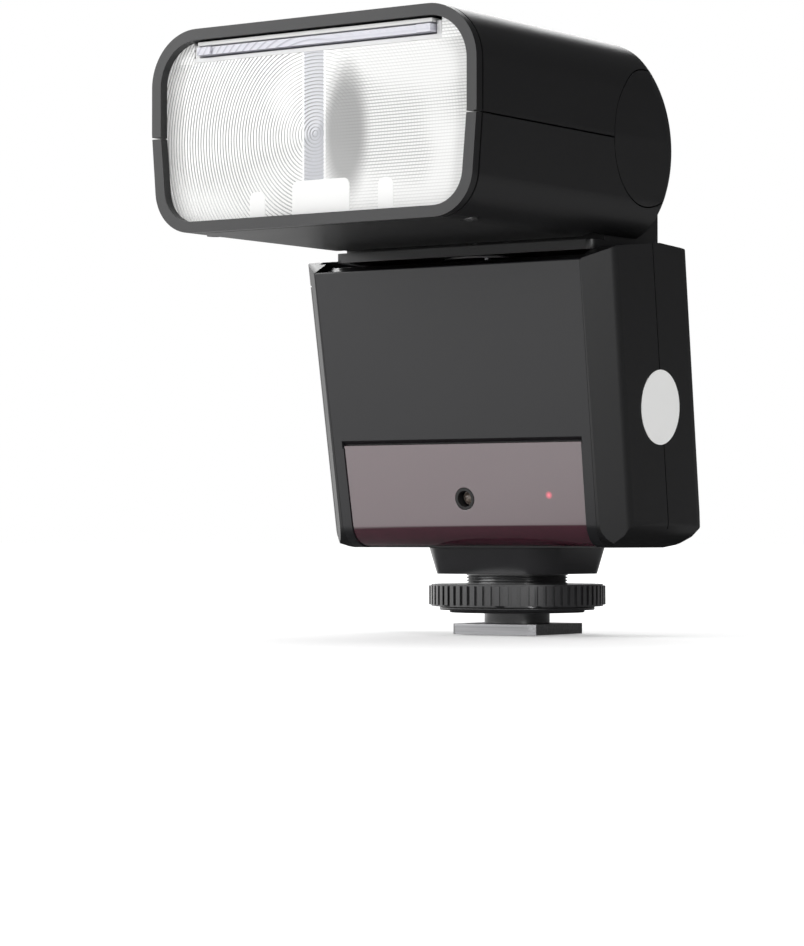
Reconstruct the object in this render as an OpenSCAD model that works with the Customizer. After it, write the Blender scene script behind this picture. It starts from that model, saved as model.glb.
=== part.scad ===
/* [Head] */
// Width of the flash head
head_w = 70; // [66:1:76]
// Height of the flash head
head_h = 36.4; // [34:0.2:40]
// Front face of the head, measured forward from the shoe centre
head_front = 66.9; // [62:0.5:76]
// Wall of the head shells
head_wall = 1.6; // [1.2:0.1:2.2]
// Radius of the upper long edges of the head
head_top_r = 10; // [6:0.2:12]
// Radius of the lower long edges of the head
head_low_r = 8; // [5:0.1:10]
// Width of the frame around the lens
bezel_w = 2.0; // [1.8:0.1:3]
// Depth of the lens behind the front face
lens_recess = 1.9; // [1:0.1:3]
// Thickness of the front lens
lens_t = 1.8; // [1:0.1:3]

/* [Wide panel and bounce card] */
// Half width of the pull-out panel and card
panel_half = 25.3; // [20:0.1:27]
// Length of the pull-out wide panel
panel_len = 34; // [28:1:36]
// Thickness of the wide panel
panel_t = 1.4; // [1:0.1:1.6]
// Thickness of the bounce card
card_t = 0.7; // [0.5:0.1:0.9]

/* [Zoom drive] */
// Travel of the reflector behind the lens
zoom_travel = 10; // [4:0.5:11]
// Depth of the reflector
reflector_d = 16; // [12:0.5:17]
// Radius of the flash tube
tube_r = 2; // [1.5:0.1:2.5]

/* [Tilt and swivel] */
// Swivel and tilt axes, measured forward from the shoe centre
pivot_fwd = 9.4; // [8:0.1:11]
// Radius of the tilt barrel between the cheeks
barrel_r = 11.2; // [10:0.1:11.5]
// Thickness of each cheek of the head
cheek_t = 5.7; // [4.5:0.1:7]
// Radius of the round cap on each cheek
cap_r = 12.4; // [10:0.1:12.6]
// Thickness of the turning plate under the head
slab_t = 1.8; // [1.4:0.1:2.2]
// Clearance between the barrel and each cheek
cheek_gap = 0.5; // [0.4:0.1:0.8]

/* [Body] */
// Half width of the body at its bottom
body_half = 33; // [32:0.1:37]
// Outward taper of each side, in degrees
body_taper = 1.3; // [0:0.1:2]
// Height of the body, from its bottom to its ridge
body_h = 55.9; // [55.5:0.1:66]
// Forward lean of the front face, in degrees
front_lean = 9; // [7:0.5:10]
// Backward lean of the rear face, in degrees
rear_lean = 7.2; // [5:0.1:9]
// Front face at the bottom, measured forward from the shoe centre
front_low = 16.8; // [16.5:0.1:20]
// Rear face at the bottom, measured backward from the shoe centre
rear_low = 15; // [14:0.1:18]
// Wall of the body covers
body_wall = 1.5; // [1.2:0.1:1.8]
// Size of the bevel along each front corner
corner_bevel = 4.9; // [4:0.1:6]
// Thickness of the front plate and the sensor window
plate_t = 1.2; // [1:0.1:1.5]
// Half width of the sensor window
window_half = 25.9; // [22:0.1:26.5]
// Top of the sensor window above the body's bottom
window_h = 19.4; // [15:0.1:24]

/* [Battery bay] */
// Diameter of an AA cell
cell_d = 13.9; // [13.5:0.1:14.1]
// Length of an AA cell without its nub
cell_len = 48.3; // [48:0.1:48.8]

/* [Rear controls] */
// Width of the display window
display_w = 44; // [36:0.5:48]
// Height of the display window
display_h = 22; // [18:0.5:24]
// Radius of the select dial
dial_r = 8.6; // [7:0.1:9.5]
// Travel of the push buttons
button_travel = 0.5; // [0.3:0.1:0.6]

/* [Shoe foot] */
// Width of the shoe plate, the standard hot shoe size
shoe_w = 18.6; // [18.5:0.05:18.6]
// Length of the shoe plate
shoe_d = 18; // [17.5:0.1:18]
// Thickness of the shoe plate
shoe_t = 2; // [1.9:0.05:2]
// Radius of the lock ring
ring_r = 16.8; // [15:0.1:17.5]
// Height of the ribbed part of the lock ring
ring_h = 4.2; // [3.5:0.1:4.4]
// Number of ribs on the lock ring
ring_ribs = 64; // [40:1:72]
// Height of the foot block under the body
block_h = 5; // [4.5:0.1:5.5]

/* [Hidden] */
$fn = 48;
fit = 0.05;        // pieces of one body that only touch
gap = 0.3;         // pieces that move past each other
seam = 0.3;        // width of a seam line
seam_deep = 0.45;  // depth of a seam line
far = 60;          // past the outside of everything

// Heights of the foot, from the sole up
rail_space = 2.1;                            // room for the camera's rails
clamp_z = shoe_t + rail_space;               // underside of the clamp plate
clamp_t = 1.2;
ring_z = clamp_z + clamp_t;
ring_lift = 1.5;                             // rise of the ring when it is loose
body_z = ring_z + ring_h + ring_lift + 0.4 + block_h;
block_z = body_z - block_h;
thread_r = 9.6;
thread_low = ring_z + ring_lift + gap;
pin_y = 7.3;                                 // lock pin
post_r = 6.2;                                // square-sided centre of the foot

// Contact pins: x, y and radius
contact_places = [[0, 0, 1.2], [-5, -1.4, 0.8], [5, -1.4, 0.8], [-1.8, 2.4, 0.8], [1.8, 2.4, 0.8]];
foot_screw_r = 5.2;                          // circle of the foot screws

// Body outline seen from the side: forward is -Y
ridge_z = body_z + body_h;
floor_z = ridge_z - 2.1;                     // flat top that the turning plate sweeps
brow_z = ridge_z - 4;                      // top edge of the front plate
function front_y(z) = -front_low - (z - body_z) * tan(front_lean);
function rear_y(z) = rear_low - (z - body_z) * tan(rear_lean);
side_points = [[front_y(body_z), body_z], [rear_y(body_z), body_z],
    [rear_y(ridge_z - 0.6), ridge_z - 0.6], [-5, ridge_z],
    [front_y(brow_z) + 4.7, brow_z + 2.4], [front_y(brow_z), brow_z]];
side_radii = [5, 8.5, 1.2, 0, 0, 0.4];
inner_radii = [1.6, 7, 0.4, 0, 0, 0.4];
front_wall = plate_t + 1.4;
side_walls = [body_wall, body_wall, body_wall, body_wall, body_wall, front_wall];
lean = 8.5;                                  // lean of the corners and the cover seam
seam_y = 0.8;                                // cover seam at the bottom, in the leaning frame
plate_half = body_half - corner_bevel;       // half width of the front plate at its foot
wrap_y = -12.4;                              // end of the window under the body

// Head outline
seat_z = floor_z + gap;                      // underside of the turning plate
head_z = seat_z + slab_t + gap;              // underside of the head
head_top = head_z + head_h;
head_mid = head_z + head_h / 2;
seam_z = head_mid - 0.8;
pivot = [-pivot_fwd, head_mid + 0.2];
tail = [pivot.x - 6.35, head_mid - 1.3];     // centre of the round rear end
tail_edge = 8;                               // rounding between its side and its end
tail_r = head_top - tail.y + 0.3;
head_half = head_w / 2;
cheek_x = head_half - cheek_t;               // inner face of each cheek
lower_draft = 1.4;
slot_r = barrel_r + gap + 0.1;
cap_x = head_half - 3.2;                     // seat of each side cap
bulkhead_y = pivot.x - slot_r - 2.4;         // rear wall of the lamp chamber
stop_angle = 52;                             // ray that ends the roof behind the barrel
heel_angle = 57;                             // ray that ends the floor in front of the neck
neck_front = -15.4;
neck_back = 4.6;
neck_split = -4.5;                           // between the yoke and its rear cover
slab_front = -19.4;
flange_r = 8.6;
flange_ring = 7.3;                            // circle of the flange's screws
slab_half = cheek_x - cheek_gap;             // half width of the turning plate
slab_r = 4.6;                                // its rear corners, where it turns between the shoulders
pocket_half = norm([slab_half - slab_r, neck_back + 0.3 - pivot.x - slab_r]) + slab_r + gap;

// Stack inside the mouth of the head, from the roof down
mouth_top = head_top - bezel_w;
card_z = mouth_top - gap - card_t;
panel_z = card_z - gap - panel_t;
shelf_t = 0.8;
shelf_z = panel_z - gap - shelf_t;
lens_y = -head_front + lens_recess;
lens_top = shelf_z - fit;
mirror_z = (head_z + head_wall + shelf_z) / 2;        // centre line of the reflector
mirror_half_h = (shelf_z - head_z - head_wall) / 2 - 1.7;
mirror_half_w = head_half - head_wall - 4;
mirror_y = lens_y + lens_t + 0.8;                     // mouth of the reflector
screw_x = 22;
screw_z = head_z + head_wall + 3.6;
rail_x = head_half - head_wall - 2.1;
rail_r = 1;
carriage_y = mirror_y + reflector_d + 0.1;
motor_y = carriage_y + 3 + zoom_travel + gap;

// Battery bay, in the leaning frame of the body
cell_y = -front_low + front_wall + cell_d / 2 + 1;
cell_x = [body_half - 10.5, body_half - 10.6 - cell_d];
cell_z = 4;
door_front = cell_y - cell_d / 2 - 0.4;
door_hinge = cell_y + cell_d / 2 + 2.2;
door_x = body_half - 3.2;
door_top = 52.9;
ear_top = 8;                                 // the rear cover's ear under the hinge ends here
door_skin = 0.9;                             // hinge axis below the outer skin
pin_r = 0.4;
pin_low = 5.3;

lamp_x = 18.5;                               // red lamp behind the window

// Rear controls, on the rear face: x to the right seen from behind, y up
rear_mid = body_z + 27.6;
display_y = 12.2;
row_y = -4.6;
low_y = -15.6;
side_x = 20;
dial_y = -10.6;
screw_side = 27.5;
screw_low = -20.6;
socket_y = 2.7;                              // charging socket in the bottom
board_deep = 7.2;
button_out = button_travel + gap;            // how far the buttons stand out
board_t = 1.2;

// ---- Outlines ----

function unit(v) = v / norm(v);
function left_of(v) = [-v.y, v.x];

// Moves edge i of a counter-clockwise outline inwards by t[i]
function shrink(p, t) = let(n = len(p)) [for (i = [0 : n - 1])
    let(before = left_of(unit(p[i] - p[(i + n - 1) % n])), after = left_of(unit(p[(i + 1) % n] - p[i])),
        tb = t[(i + n - 1) % n], ta = t[i], c = before * after)
    p[i] + ((tb - ta * c) * before + (ta - tb * c) * after) / (1 - c * c)];
function all(p, t) = [for (i = p) t];
function less(r, t) = [for (i = r) i > 0 ? max(i - t, 0.3) : 0];
function ray(angle) = [-cos(angle), -sin(angle)];

// Outline with its corners rounded by true arcs
module rounded_outline(p, r) {
    n = len(p);
    difference() {
        polygon(p);
        for (i = [0 : n - 1])
            if (r[i] > 0) {
                u = unit(p[(i + n - 1) % n] - p[i]);
                v = unit(p[(i + 1) % n] - p[i]);
                half = acos(u * v) / 2;
                centre = p[i] + unit(u + v) * r[i] / sin(half);
                difference() {
                    polygon([p[i] - unit(u + v), p[i] + u * r[i] / tan(half), centre,
                        p[i] + v * r[i] / tan(half)]);
                    translate(centre) rotate(atan2((u + v).y, (u + v).x)) circle(r = r[i]);
                }
            }
    }
}

// The same corners as short straight steps, for faces that lean on each other
function stepped(p, r, steps = 5) = let(n = len(p)) [for (i = [0 : n - 1])
    let(u = unit(p[(i + n - 1) % n] - p[i]), v = unit(p[(i + 1) % n] - p[i]), half = acos(u * v) / 2,
        centre = p[i] + unit(u + v) * r[i] / sin(half), out = left_of(u), start = atan2(out.y, out.x))
    each r[i] == 0 ? [p[i]] :
        [for (j = [0 : steps]) centre + r[i] * [cos(start + (180 - 2 * half) * j / steps),
        sin(start + (180 - 2 * half) * j / steps)]]];

module rounded_box(size, r) {
    translate([0, 0, -size.z / 2])
        linear_extrude(size.z)
            rounded_outline([[-size.x, -size.y] / 2, [size.x, -size.y] / 2, [size.x, size.y] / 2,
                [-size.x, size.y] / 2], [r, r, r, r]);
}

// Stands an outline of (Y, Z) points across the whole width
module across(half) {
    rotate([90, 0, 90]) translate([0, 0, -half]) linear_extrude(2 * half) children();
}

// Runs an outline of (X, Z) points from y0 to y1
module along(y0, y1) {
    translate([0, y1, 0]) rotate([90, 0, 0]) linear_extrude(y1 - y0) children();
}

module both_sides() {
    children();
    mirror([1, 0, 0]) children();
}

module rod(r, len, at) {
    translate(at) rotate([0, 90, 0]) cylinder(r = r, h = len, center = true);
}

// Self-tapping screw: its head sits on the origin and its shank points down
module screw(head_r, head_h, shank_r, len) {
    difference() {
        cylinder(r = head_r, h = head_h);
        for (a = [0, 90])
            rotate([0, 0, a]) translate([0, 0, head_h])
                cube([head_r * 1.2, head_r * 0.28, head_h], center = true);
    }
    translate([0, 0, -len]) cylinder(r = shank_r, h = len);
}

// ---- Body ----

// Frame that leans with the body and tapers with its right side
module right_frame() {
    translate([0, 0, body_z]) rotate([lean, 0, 0]) rotate([0, body_taper, 0]) children();
}

module left_frame() {
    mirror([1, 0, 0]) right_frame() children();
}

module lean_frame() {
    translate([0, 0, body_z]) rotate([lean, 0, 0]) children();
}

// Plan of the right half: bevelled front corner and rounded rear corner
module half_plan(t) {
    front = -front_low - 0.5;
    rear = rear_y(ridge_z) * cos(lean) + body_h * sin(lean) + 0.7;
    p = [[-8, front], [body_half - corner_bevel, front], [body_half, front + corner_bevel],
        [body_half, rear], [-8, rear]];
    polygon(stepped(shrink(p, all(p, t)), less([0, 0, 2.6, 5.7, 0], t)));
}

// The whole body, drawn in by t, with its own walls where t is more than nothing
module body_solid(t) {
    walls = t > 0 ? side_walls : all(side_points, 0);
    both_sides() intersection() {
        across(far) polygon(stepped(shrink(side_points, walls), t > 0 ? inner_radii : side_radii));
        translate([0, -far, 0]) cube([far, 2 * far, 2 * far]);
        right_frame() translate([0, 0, -10]) linear_extrude(body_h + 25) half_plan(t);
        along(-far, far) polygon(stepped([[-body_half + t, body_z + t - 0.3],
            [body_half - t, body_z + t - 0.3], [body_half + 6, ridge_z + far],
            [-body_half - 6, ridge_z + far]],
            [6.3 - t, 6.3 - t, 0, 0]));
    }
}

// Flat top between the shoulders, swept by the turning plate
module swept_top() {
    translate([-pocket_half, front_y(brow_z) + 3.6, floor_z]) cube([2 * pocket_half, 2 * far, far]);
    translate([-far, -far, ridge_z + 1]) cube([2 * far, 2 * far, far]);
}

module inner_space() {
    intersection() {
        body_solid(body_wall);
        translate([-far, -far, 0]) cube([2 * far, 2 * far, floor_z - body_wall]);
    }
}

// Where the front plate and the window lie: the skin of the front face and of its lower edge
module front_skin(t, half_low, top) {
    intersection() {
        difference() {
            across(far) polygon(stepped(side_points, side_radii));
            across(far + 1) polygon(stepped(shrink(side_points, all(side_points, t)), less(side_radii, t)));
        }
        both_sides() right_frame() translate([-8, -far, -10]) cube([half_low + 8, far, body_h + 40]);
        translate([-far, -far, 0]) cube([2 * far, far + wrap_y, top]);
    }
}

module behind_seam(offset) {
    lean_frame() translate([-far, seam_y + offset, -far]) cube([2 * far, far, 4 * far]);
}

module cover_seam() {
    difference() {
        lean_frame() translate([-far, seam_y - seam / 2, -far]) cube([2 * far, seam, 4 * far]);
        both_sides() right_frame() translate([-8, -far, seam_deep])
            cube([body_half - seam_deep + 8, 2 * far, 4 * far]);
    }
}

module on_rear(x, y) {
    translate([0, rear_y(rear_mid), rear_mid]) rotate([rear_lean - 90, 0, 0]) rotate([0, 0, 180])
        translate([x, y, 0]) children();
}

// The door's outline in the left side, grown by c
module door_zone(c) {
    left_frame() {
        translate([door_x - c, door_front - c, -8])
            cube([far, door_hinge - 1.4 - door_front + 2 * c, 16 + c]);
        translate([door_x - c, door_front - c, ear_top - c])
            cube([far, door_hinge - door_front + c, door_top - ear_top + 2 * c]);
        translate([body_half - door_skin, door_hinge, ear_top - c])
            cylinder(r = door_skin + c, h = door_top - ear_top + 2 * c);
    }
}

module body_shell() {
    difference() {
        body_solid(0);
        inner_space();
        swept_top();
        door_zone(gap);
        cover_seam();
        // Way for the cables through the swivel post
        translate([0, pivot.x, floor_z - 3]) cylinder(r = 4.2, h = 6);
        // Hinge pin sockets above and below the door
        left_frame() translate([body_half - door_skin, door_hinge, pin_low - fit])
            cylinder(r = pin_r + fit, h = door_top + 1.4 - pin_low);
        for (a = [60 : 120 : 300])
            translate([0, pivot.x, floor_z - 3]) rotate([0, 0, a])
                translate([flange_ring, 0, 0]) cylinder(r = 0.65, h = 6);
        // Mouth for the foot
        translate([0, 0, body_z - 1]) cylinder(r = thread_r - 3, h = 4);
    }
}

module front_cover() {
    color([0.075, 0.075, 0.08]) difference() {
        body_shell();
        behind_seam(0);
        union() {
            front_skin(plate_t + fit, plate_half + fit, brow_z + far);
            for (s = [[0, 2.15], [lamp_x, 2.6]])
                sensor_axis(s.x) translate([0, 0, -4]) cylinder(r = s.y, h = 3.6);
        }
    }
}

module rear_cover() {
    color([0.06, 0.06, 0.065]) difference() {
        intersection() {
            body_shell();
            behind_seam(0);
        }
        on_rear(0, display_y) rounded_box([display_w + 2 * fit, display_h + 2 * fit, 2.6], 1.5);
        on_rear(0, display_y) rounded_box([display_w - 4, display_h - 4, 8], 1);
        for (x = [-side_x, side_x])
            on_rear(x, row_y) rounded_box([9 + 2 * gap, 4.6 + 2 * gap, 8], 2.3);
        on_rear(side_x, low_y) cylinder(r = 3.6 + gap, h = 8, center = true);
        on_rear(-side_x, low_y) rounded_box([9.4, 4.6, 8], 1);
        on_rear(0, dial_y) cylinder(r = dial_r + gap, h = 8, center = true);
        for (x = [-screw_side, screw_side])
            on_rear(x, screw_low) {
                cylinder(r = 1.65, h = 1.3, center = true);
                cylinder(r = 0.85, h = 8, center = true);
            }
        translate([21, socket_y, body_z - 1]) cube([7.9, 2.9, 6], center = true);
    }
}

module sensor_axis(x) {
    z = body_z + 9;
    translate([x, front_y(z), z]) rotate([90 + front_lean, 0, 0]) children();
}

module front_plate() {
    color([0.1, 0.1, 0.105]) difference() {
        intersection() {
            body_solid(0);
            front_skin(plate_t, plate_half, brow_z + 0.02);
        }
        swept_top();
        difference() {
            both_sides() right_frame() translate([-8, -far, -10]) cube([window_half + fit + 8, far, far]);
            translate([-far, -far, body_z + window_h]) cube([2 * far, 2 * far, far]);
        }
        // Bevel above the window
        translate([0, front_y(body_z + window_h), body_z + window_h]) rotate([front_lean, 0, 0])
            rotate([45, 0, 0]) cube([2 * window_half + 1.6, 1.1, 1.1], center = true);
    }
}

module sensor_window() {
    color([0.3, 0.03, 0.05]) difference() {
        intersection() {
            body_solid(0);
            front_skin(plate_t, window_half, body_z + window_h - 0.15);
        }
        sensor_axis(0) cylinder(r = 2.1, h = 8, center = true);
        // The window lies a little deeper than the plate
        difference() {
            across(far) square([4 * far, 8 * far], center = true);
            across(far + 1)
                polygon(stepped(shrink(side_points, all(side_points, 0.25)), less(side_radii, 0.25)));
        }
    }
}

module sensor_tube() {
    color([0.04, 0.04, 0.04]) sensor_axis(0) difference() {
        translate([0, 0, -3.2]) cylinder(r = 2.1 - fit, h = 3);
        translate([0, 0, -2.4]) cylinder(r = 1.5, h = 4);
    }
}

module photo_sensor() {
    color([0.5, 0.4, 0.35]) sensor_axis(0) {
        translate([0, 0, -2.4]) cylinder(r = 1.3, h = 0.5);
        intersection() {
            translate([0, 0, -2.3]) sphere(r = 1.1);
            translate([0, 0, -1.9]) cylinder(r = 2, h = 3);
        }
    }
}

module focus_lamp() {
    color([0.8, 0.1, 0.1]) sensor_axis(lamp_x) {
        translate([0, 0, -5.2]) cylinder(r = 2.4, h = 2.6);
        intersection() {
            translate([0, 0, -3.6]) sphere(r = 2.1);
            translate([0, 0, -2.6]) cylinder(r = 3, h = 3);
        }
    }
}

// Blank round sticker on the right side, across the cover seam
module quality_sticker() {
    color([0.9, 0.9, 0.9]) right_frame() translate([body_half, seam_y - 0.6, 26.8])
        rotate([0, 90, 0]) cylinder(r = 6.9, h = 0.12);
}

module body_screws() {
    color([0.25, 0.25, 0.26]) for (x = [-screw_side, screw_side])
        on_rear(x, screw_low) translate([0, 0, -0.65]) screw(1.6, 0.6, 0.8, 5);
}

module main_board() {
    color([0.06, 0.3, 0.12]) on_rear(0, 3) {
        translate([0, 0, -board_deep - board_t / 2]) rounded_box([56, 42, board_t], 1);
        // Switch domes under the buttons
        for (x = [-side_x, side_x]) {
            translate([x, row_y - 3, -board_deep]) cylinder(r = 1.6, h = 1.5);
        }
        translate([side_x, low_y - 3, -board_deep]) cylinder(r = 1.6, h = 1.5);
        translate([0, dial_y - 3, -board_deep]) cylinder(r = 1.6, h = 1.5);
    }
}

module flash_capacitor() {
    r = 6.6;
    color([0.12, 0.12, 0.2]) on_rear(-19.5, 6) translate([0, 0, -board_deep - board_t - r - 0.1])
        rotate([90, 0, 0]) {
            cylinder(r = r, h = 34, center = true);
            translate([0, 0, 17]) cylinder(r = r - 1, h = 0.4);
        }
}

module step_up_transformer() {
    color([0.75, 0.6, 0.2]) on_rear(-6, -8) translate([0, 0, -board_deep - board_t - 3]) {
        rounded_box([9, 9, 5.6], 1);
        cube([11, 7, 3], center = true);
    }
}

module display_module() {
    color([0.35, 0.4, 0.38]) on_rear(0, display_y) {
        translate([0, 0, -3.2]) rounded_box([display_w - 2, display_h + 1, 2.4], 0.6);
        translate([0, 0, -5.8]) rounded_box([display_w - 8, display_h - 4, 2.6], 0.6);
    }
}

module display_window() {
    color([0.2, 0.2, 0.22, 0.5]) on_rear(0, display_y)
        translate([0, 0, -0.65]) rounded_box([display_w, display_h, 1.2], 1.5);
}

module oblong_button(x) {
    on_rear(x, row_y) {
        translate([0, 0, button_out / 2 - 1.5]) rounded_box([9, 4.6, button_out + 3], 2.3);
        translate([0, 0, -2.6]) rounded_box([10.6, 6.2, 0.8], 2);
        translate([0, 0, -3.9]) cylinder(r = 1.4, h = 1.4);
    }
}

module mode_button() {
    color([0.16, 0.16, 0.17]) oblong_button(-side_x);
}

module wireless_button() {
    color([0.16, 0.16, 0.17]) oblong_button(side_x);
}

module test_button() {
    color([0.5, 0.3, 0.2]) on_rear(side_x, low_y) {
        translate([0, 0, -3]) cylinder(r = 3.6, h = button_out + 3);
        translate([0, 0, -3]) cylinder(r = 4.6, h = 0.8);
        translate([0, 0, -4.9]) cylinder(r = 1.4, h = 2);
    }
}

module power_switch() {
    color([0.16, 0.16, 0.17]) on_rear(-side_x, low_y) translate([-1.4, 0, 0]) {
        translate([0, 0, -1]) rounded_box([4.6, 3.8, 3.6], 0.6);
        for (x = [-1.2, 0, 1.2])
            translate([x, 0, 0.9]) cube([0.5, 3.4, 0.5], center = true);
        translate([0, 0, -2.5]) rounded_box([9, 6, 0.9], 0.6);
        translate([0, 0, -5]) cylinder(r = 1, h = 2.4);
    }
}

module select_dial() {
    color([0.13, 0.13, 0.14]) on_rear(0, dial_y) difference() {
        union() {
            translate([0, 0, -2.8]) cylinder(r = dial_r, h = 4);
            translate([0, 0, -3.4]) cylinder(r = dial_r + 1, h = 0.8);
        }
        translate([0, 0, -5]) cylinder(r = 4.2, h = 8);
        for (i = [0 : 35])
            rotate([0, 0, 10 * i]) translate([dial_r + 0.1, 0, -1]) cylinder(r = 0.35, h = 4);
    }
}

module set_button() {
    color([0.16, 0.16, 0.17]) on_rear(0, dial_y) {
        translate([0, 0, -2.8]) cylinder(r = 3.9, h = button_out + 3.1);
        translate([0, 0, -4.7]) cylinder(r = 1.5, h = 2);
    }
}

// ---- Battery bay ----

module battery_tray() {
    inner = cell_x[1] - cell_d / 2 - 0.5;
    color([0.2, 0.2, 0.21]) intersection() {
        left_frame() union() {
            translate([inner - 1, door_front + 1.9, 0]) cube([1, cell_d + 0.6, body_h]);
            translate([inner - 1, cell_y + cell_d / 2 + 0.4, 0]) cube([body_half - inner - 4, 0.9, body_h]);
        }
        inner_space();
    }
}

module aa_cells() {
    for (i = [0, 1])
        left_frame() translate([cell_x[i], cell_y, cell_z])
            mirror([0, 0, i]) translate([0, 0, -i * cell_len]) {
            color([0.75, 0.6, 0.3]) cylinder(r = cell_d / 2, h = cell_len);
            color([0.8, 0.8, 0.8]) translate([0, 0, cell_len]) cylinder(r = 2.7, h = 0.9);
        }
}

module battery_contacts() {
    color([0.8, 0.78, 0.7]) for (i = [0, 1])
        left_frame() translate([cell_x[i], cell_y, 0]) {
            translate([-3, -1.2, cell_z - (i == 0 ? 0.23 : 1.13)]) cube([6, 2.4, 0.2]);
            translate([-3, -1.2, cell_z + cell_len + (i == 0 ? 0.93 : 0.03)]) cube([6, 2.4, 0.2]);
        }
}

module battery_door() {
    color([0.06, 0.06, 0.065]) difference() {
        intersection() {
            difference() {
                body_solid(0);
                body_solid(body_wall);
            }
            door_zone(0);
        }
        left_frame() translate([body_half - door_skin, door_hinge, -9])
            cylinder(r = pin_r + fit, h = body_h + 20);
        // Thumb ribs
        left_frame() for (z = [22 : 2 : 32])
            translate([body_half, cell_y, z]) cube([0.6, 9, 0.7], center = true);
    }
}

module door_hinge_pin() {
    color([0.7, 0.7, 0.72]) left_frame() translate([body_half - door_skin, door_hinge, pin_low])
        cylinder(r = pin_r, h = door_top + 1.2 - pin_low);
}

module usb_socket() {
    color([0.7, 0.7, 0.72]) translate([21, socket_y, body_z + 2.6]) difference() {
        cube([7.8, 2.8, 5], center = true);
        translate([0, 0, -0.6]) cube([7, 2, 5], center = true);
    }
}

// ---- Foot ----

module foot_block() {
    color([0.09, 0.09, 0.095]) difference() {
        hull() {
            translate([0, 0, body_z - 0.05]) rounded_box([28.6, 24, 0.1], 5, $fn = 32);
            translate([0, 0, block_z + 0.05]) rounded_box([26.2, 21.6, 0.1], 4.4, $fn = 32);
        }
        translate([0, 0, block_z - 1]) cylinder(r = thread_r + fit, h = block_h + 2);
    }
}

module thread_column() {
    color([0.1, 0.1, 0.1]) difference() {
        union() {
            translate([0, 0, thread_low]) cylinder(r = thread_r, h = body_z - thread_low);
            translate([0, 0, shoe_t]) cylinder(r = post_r, h = body_z + body_wall - 2 * fit - shoe_t);
        }
        translate([0, 0, shoe_t - 1]) cylinder(r = 3.2, h = far);
        // Turns of the thread above the ring
        for (i = [0 : 2])
            translate([0, 0, ring_z + ring_h + 0.25 + 0.55 * i]) difference() {
                cylinder(r = thread_r + 1, h = 0.25);
                translate([0, 0, -1]) cylinder(r = thread_r - 0.35, h = 3);
            }
        // Screw and pin passages
        for (a = [45 : 90 : 315])
            rotate([0, 0, a]) translate([foot_screw_r, 0, shoe_t - 1]) cylinder(r = 0.6, h = 6);
    }
}

module lock_ring() {
    color([0.09, 0.09, 0.095]) translate([0, 0, ring_z]) difference() {
        union() {
            cylinder(r = ring_r - 0.5, h = ring_h);
            translate([0, 0, 0.3]) linear_extrude(ring_h - 0.6)
                difference() {
                    circle(r = ring_r);
                    for (i = [0 : ring_ribs - 1])
                        rotate(360 * i / ring_ribs) translate([ring_r, 0]) square([1, 0.7], center = true);
                }
        }
        translate([0, 0, -1]) cylinder(r = thread_r + fit, h = ring_h + 2);
    }
}

// Plate pressed on the camera's rails: it rises and sinks with the ring but doesn't turn
module clamp_plate() {
    color([0.07, 0.07, 0.075]) difference() {
        union() {
            translate([0, 0, clamp_z + 0.5]) cylinder(r = 14.7, h = clamp_t - 0.5 - fit);
            translate([0, 0, clamp_z]) cylinder(r = 12.8, h = 0.6);
        }
        translate([0, 0, clamp_z - 1]) cylinder(r = post_r + fit, h = clamp_t + 2);
    }
}

module shoe_plate() {
    color([0.62, 0.62, 0.64]) difference() {
        translate([0, 0, shoe_t / 2]) difference() {
            rounded_box([shoe_w, shoe_d, shoe_t], 0.8);
            // Lead-in bevels at the front corners
            for (s = [-1, 1])
                translate([s * shoe_w / 2, -shoe_d / 2, 0])
                    rotate([0, 0, 45]) cube([1.6, 1.6, shoe_t + 1], center = true);
        }
        for (c = contact_places)
            translate([c.x, c.y, -1]) cylinder(r = c.z + 0.1, h = shoe_t + 2);
        for (a = [45 : 90 : 315])
            rotate([0, 0, a]) translate([foot_screw_r, 0, -1]) {
                cylinder(r = 0.6, h = shoe_t + 2);
                cylinder(r = 1.2, h = 1.9);
            }
        translate([0, pin_y, -1]) cylinder(r = 0.9, h = shoe_t + 2);
    }
}

module contact_pins() {
    color([0.85, 0.7, 0.35]) for (c = contact_places)
        translate([c.x, c.y, 0.05]) cylinder(r = c.z, h = shoe_t - 0.05);
}

module lock_pin() {
    color([0.8, 0.8, 0.82]) translate([0, pin_y, 0.1]) cylinder(r = 0.8, h = clamp_z - 0.15);
}

module foot_screws() {
    color([0.6, 0.6, 0.62]) for (a = [45 : 90 : 315])
        rotate([0, 0, a]) translate([foot_screw_r, 0, 0.85]) mirror([0, 0, 1]) screw(1.1, 0.6, 0.55, 4);
}

// ---- Swivel and yoke ----

module swivel_post() {
    color([0.55, 0.55, 0.57]) translate([0, pivot.x, 0]) difference() {
        union() {
            translate([0, 0, floor_z]) cylinder(r = flange_r, h = 1);
            translate([0, 0, floor_z]) cylinder(r = 6, h = 8);
        }
        translate([0, 0, floor_z - 1]) cylinder(r = 4.2, h = 12);
        // Groove for the clip, and notches for the detent ball
        difference() {
            translate([0, 0, floor_z + 6.4]) cylinder(r = 7, h = 0.9);
            translate([0, 0, floor_z + 6]) cylinder(r = 5.2, h = 2);
        }
        for (a = [0 : 30 : 330])
            rotate([0, 0, a]) translate([0, 6.5, floor_z + 4]) sphere(r = 0.85);
        for (a = [60 : 120 : 300])
            rotate([0, 0, a]) translate([flange_ring, 0, floor_z - 1]) cylinder(r = 0.7, h = 4);
    }
}

module post_clip() {
    color([0.7, 0.7, 0.72]) translate([0, pivot.x, floor_z + 6.45]) difference() {
        cylinder(r = 7.4, h = 0.8);
        translate([0, 0, -1]) cylinder(r = 5.25, h = 3);
        translate([0, -8, 0]) cube([4, 8, 4], center = true);
    }
}

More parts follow.
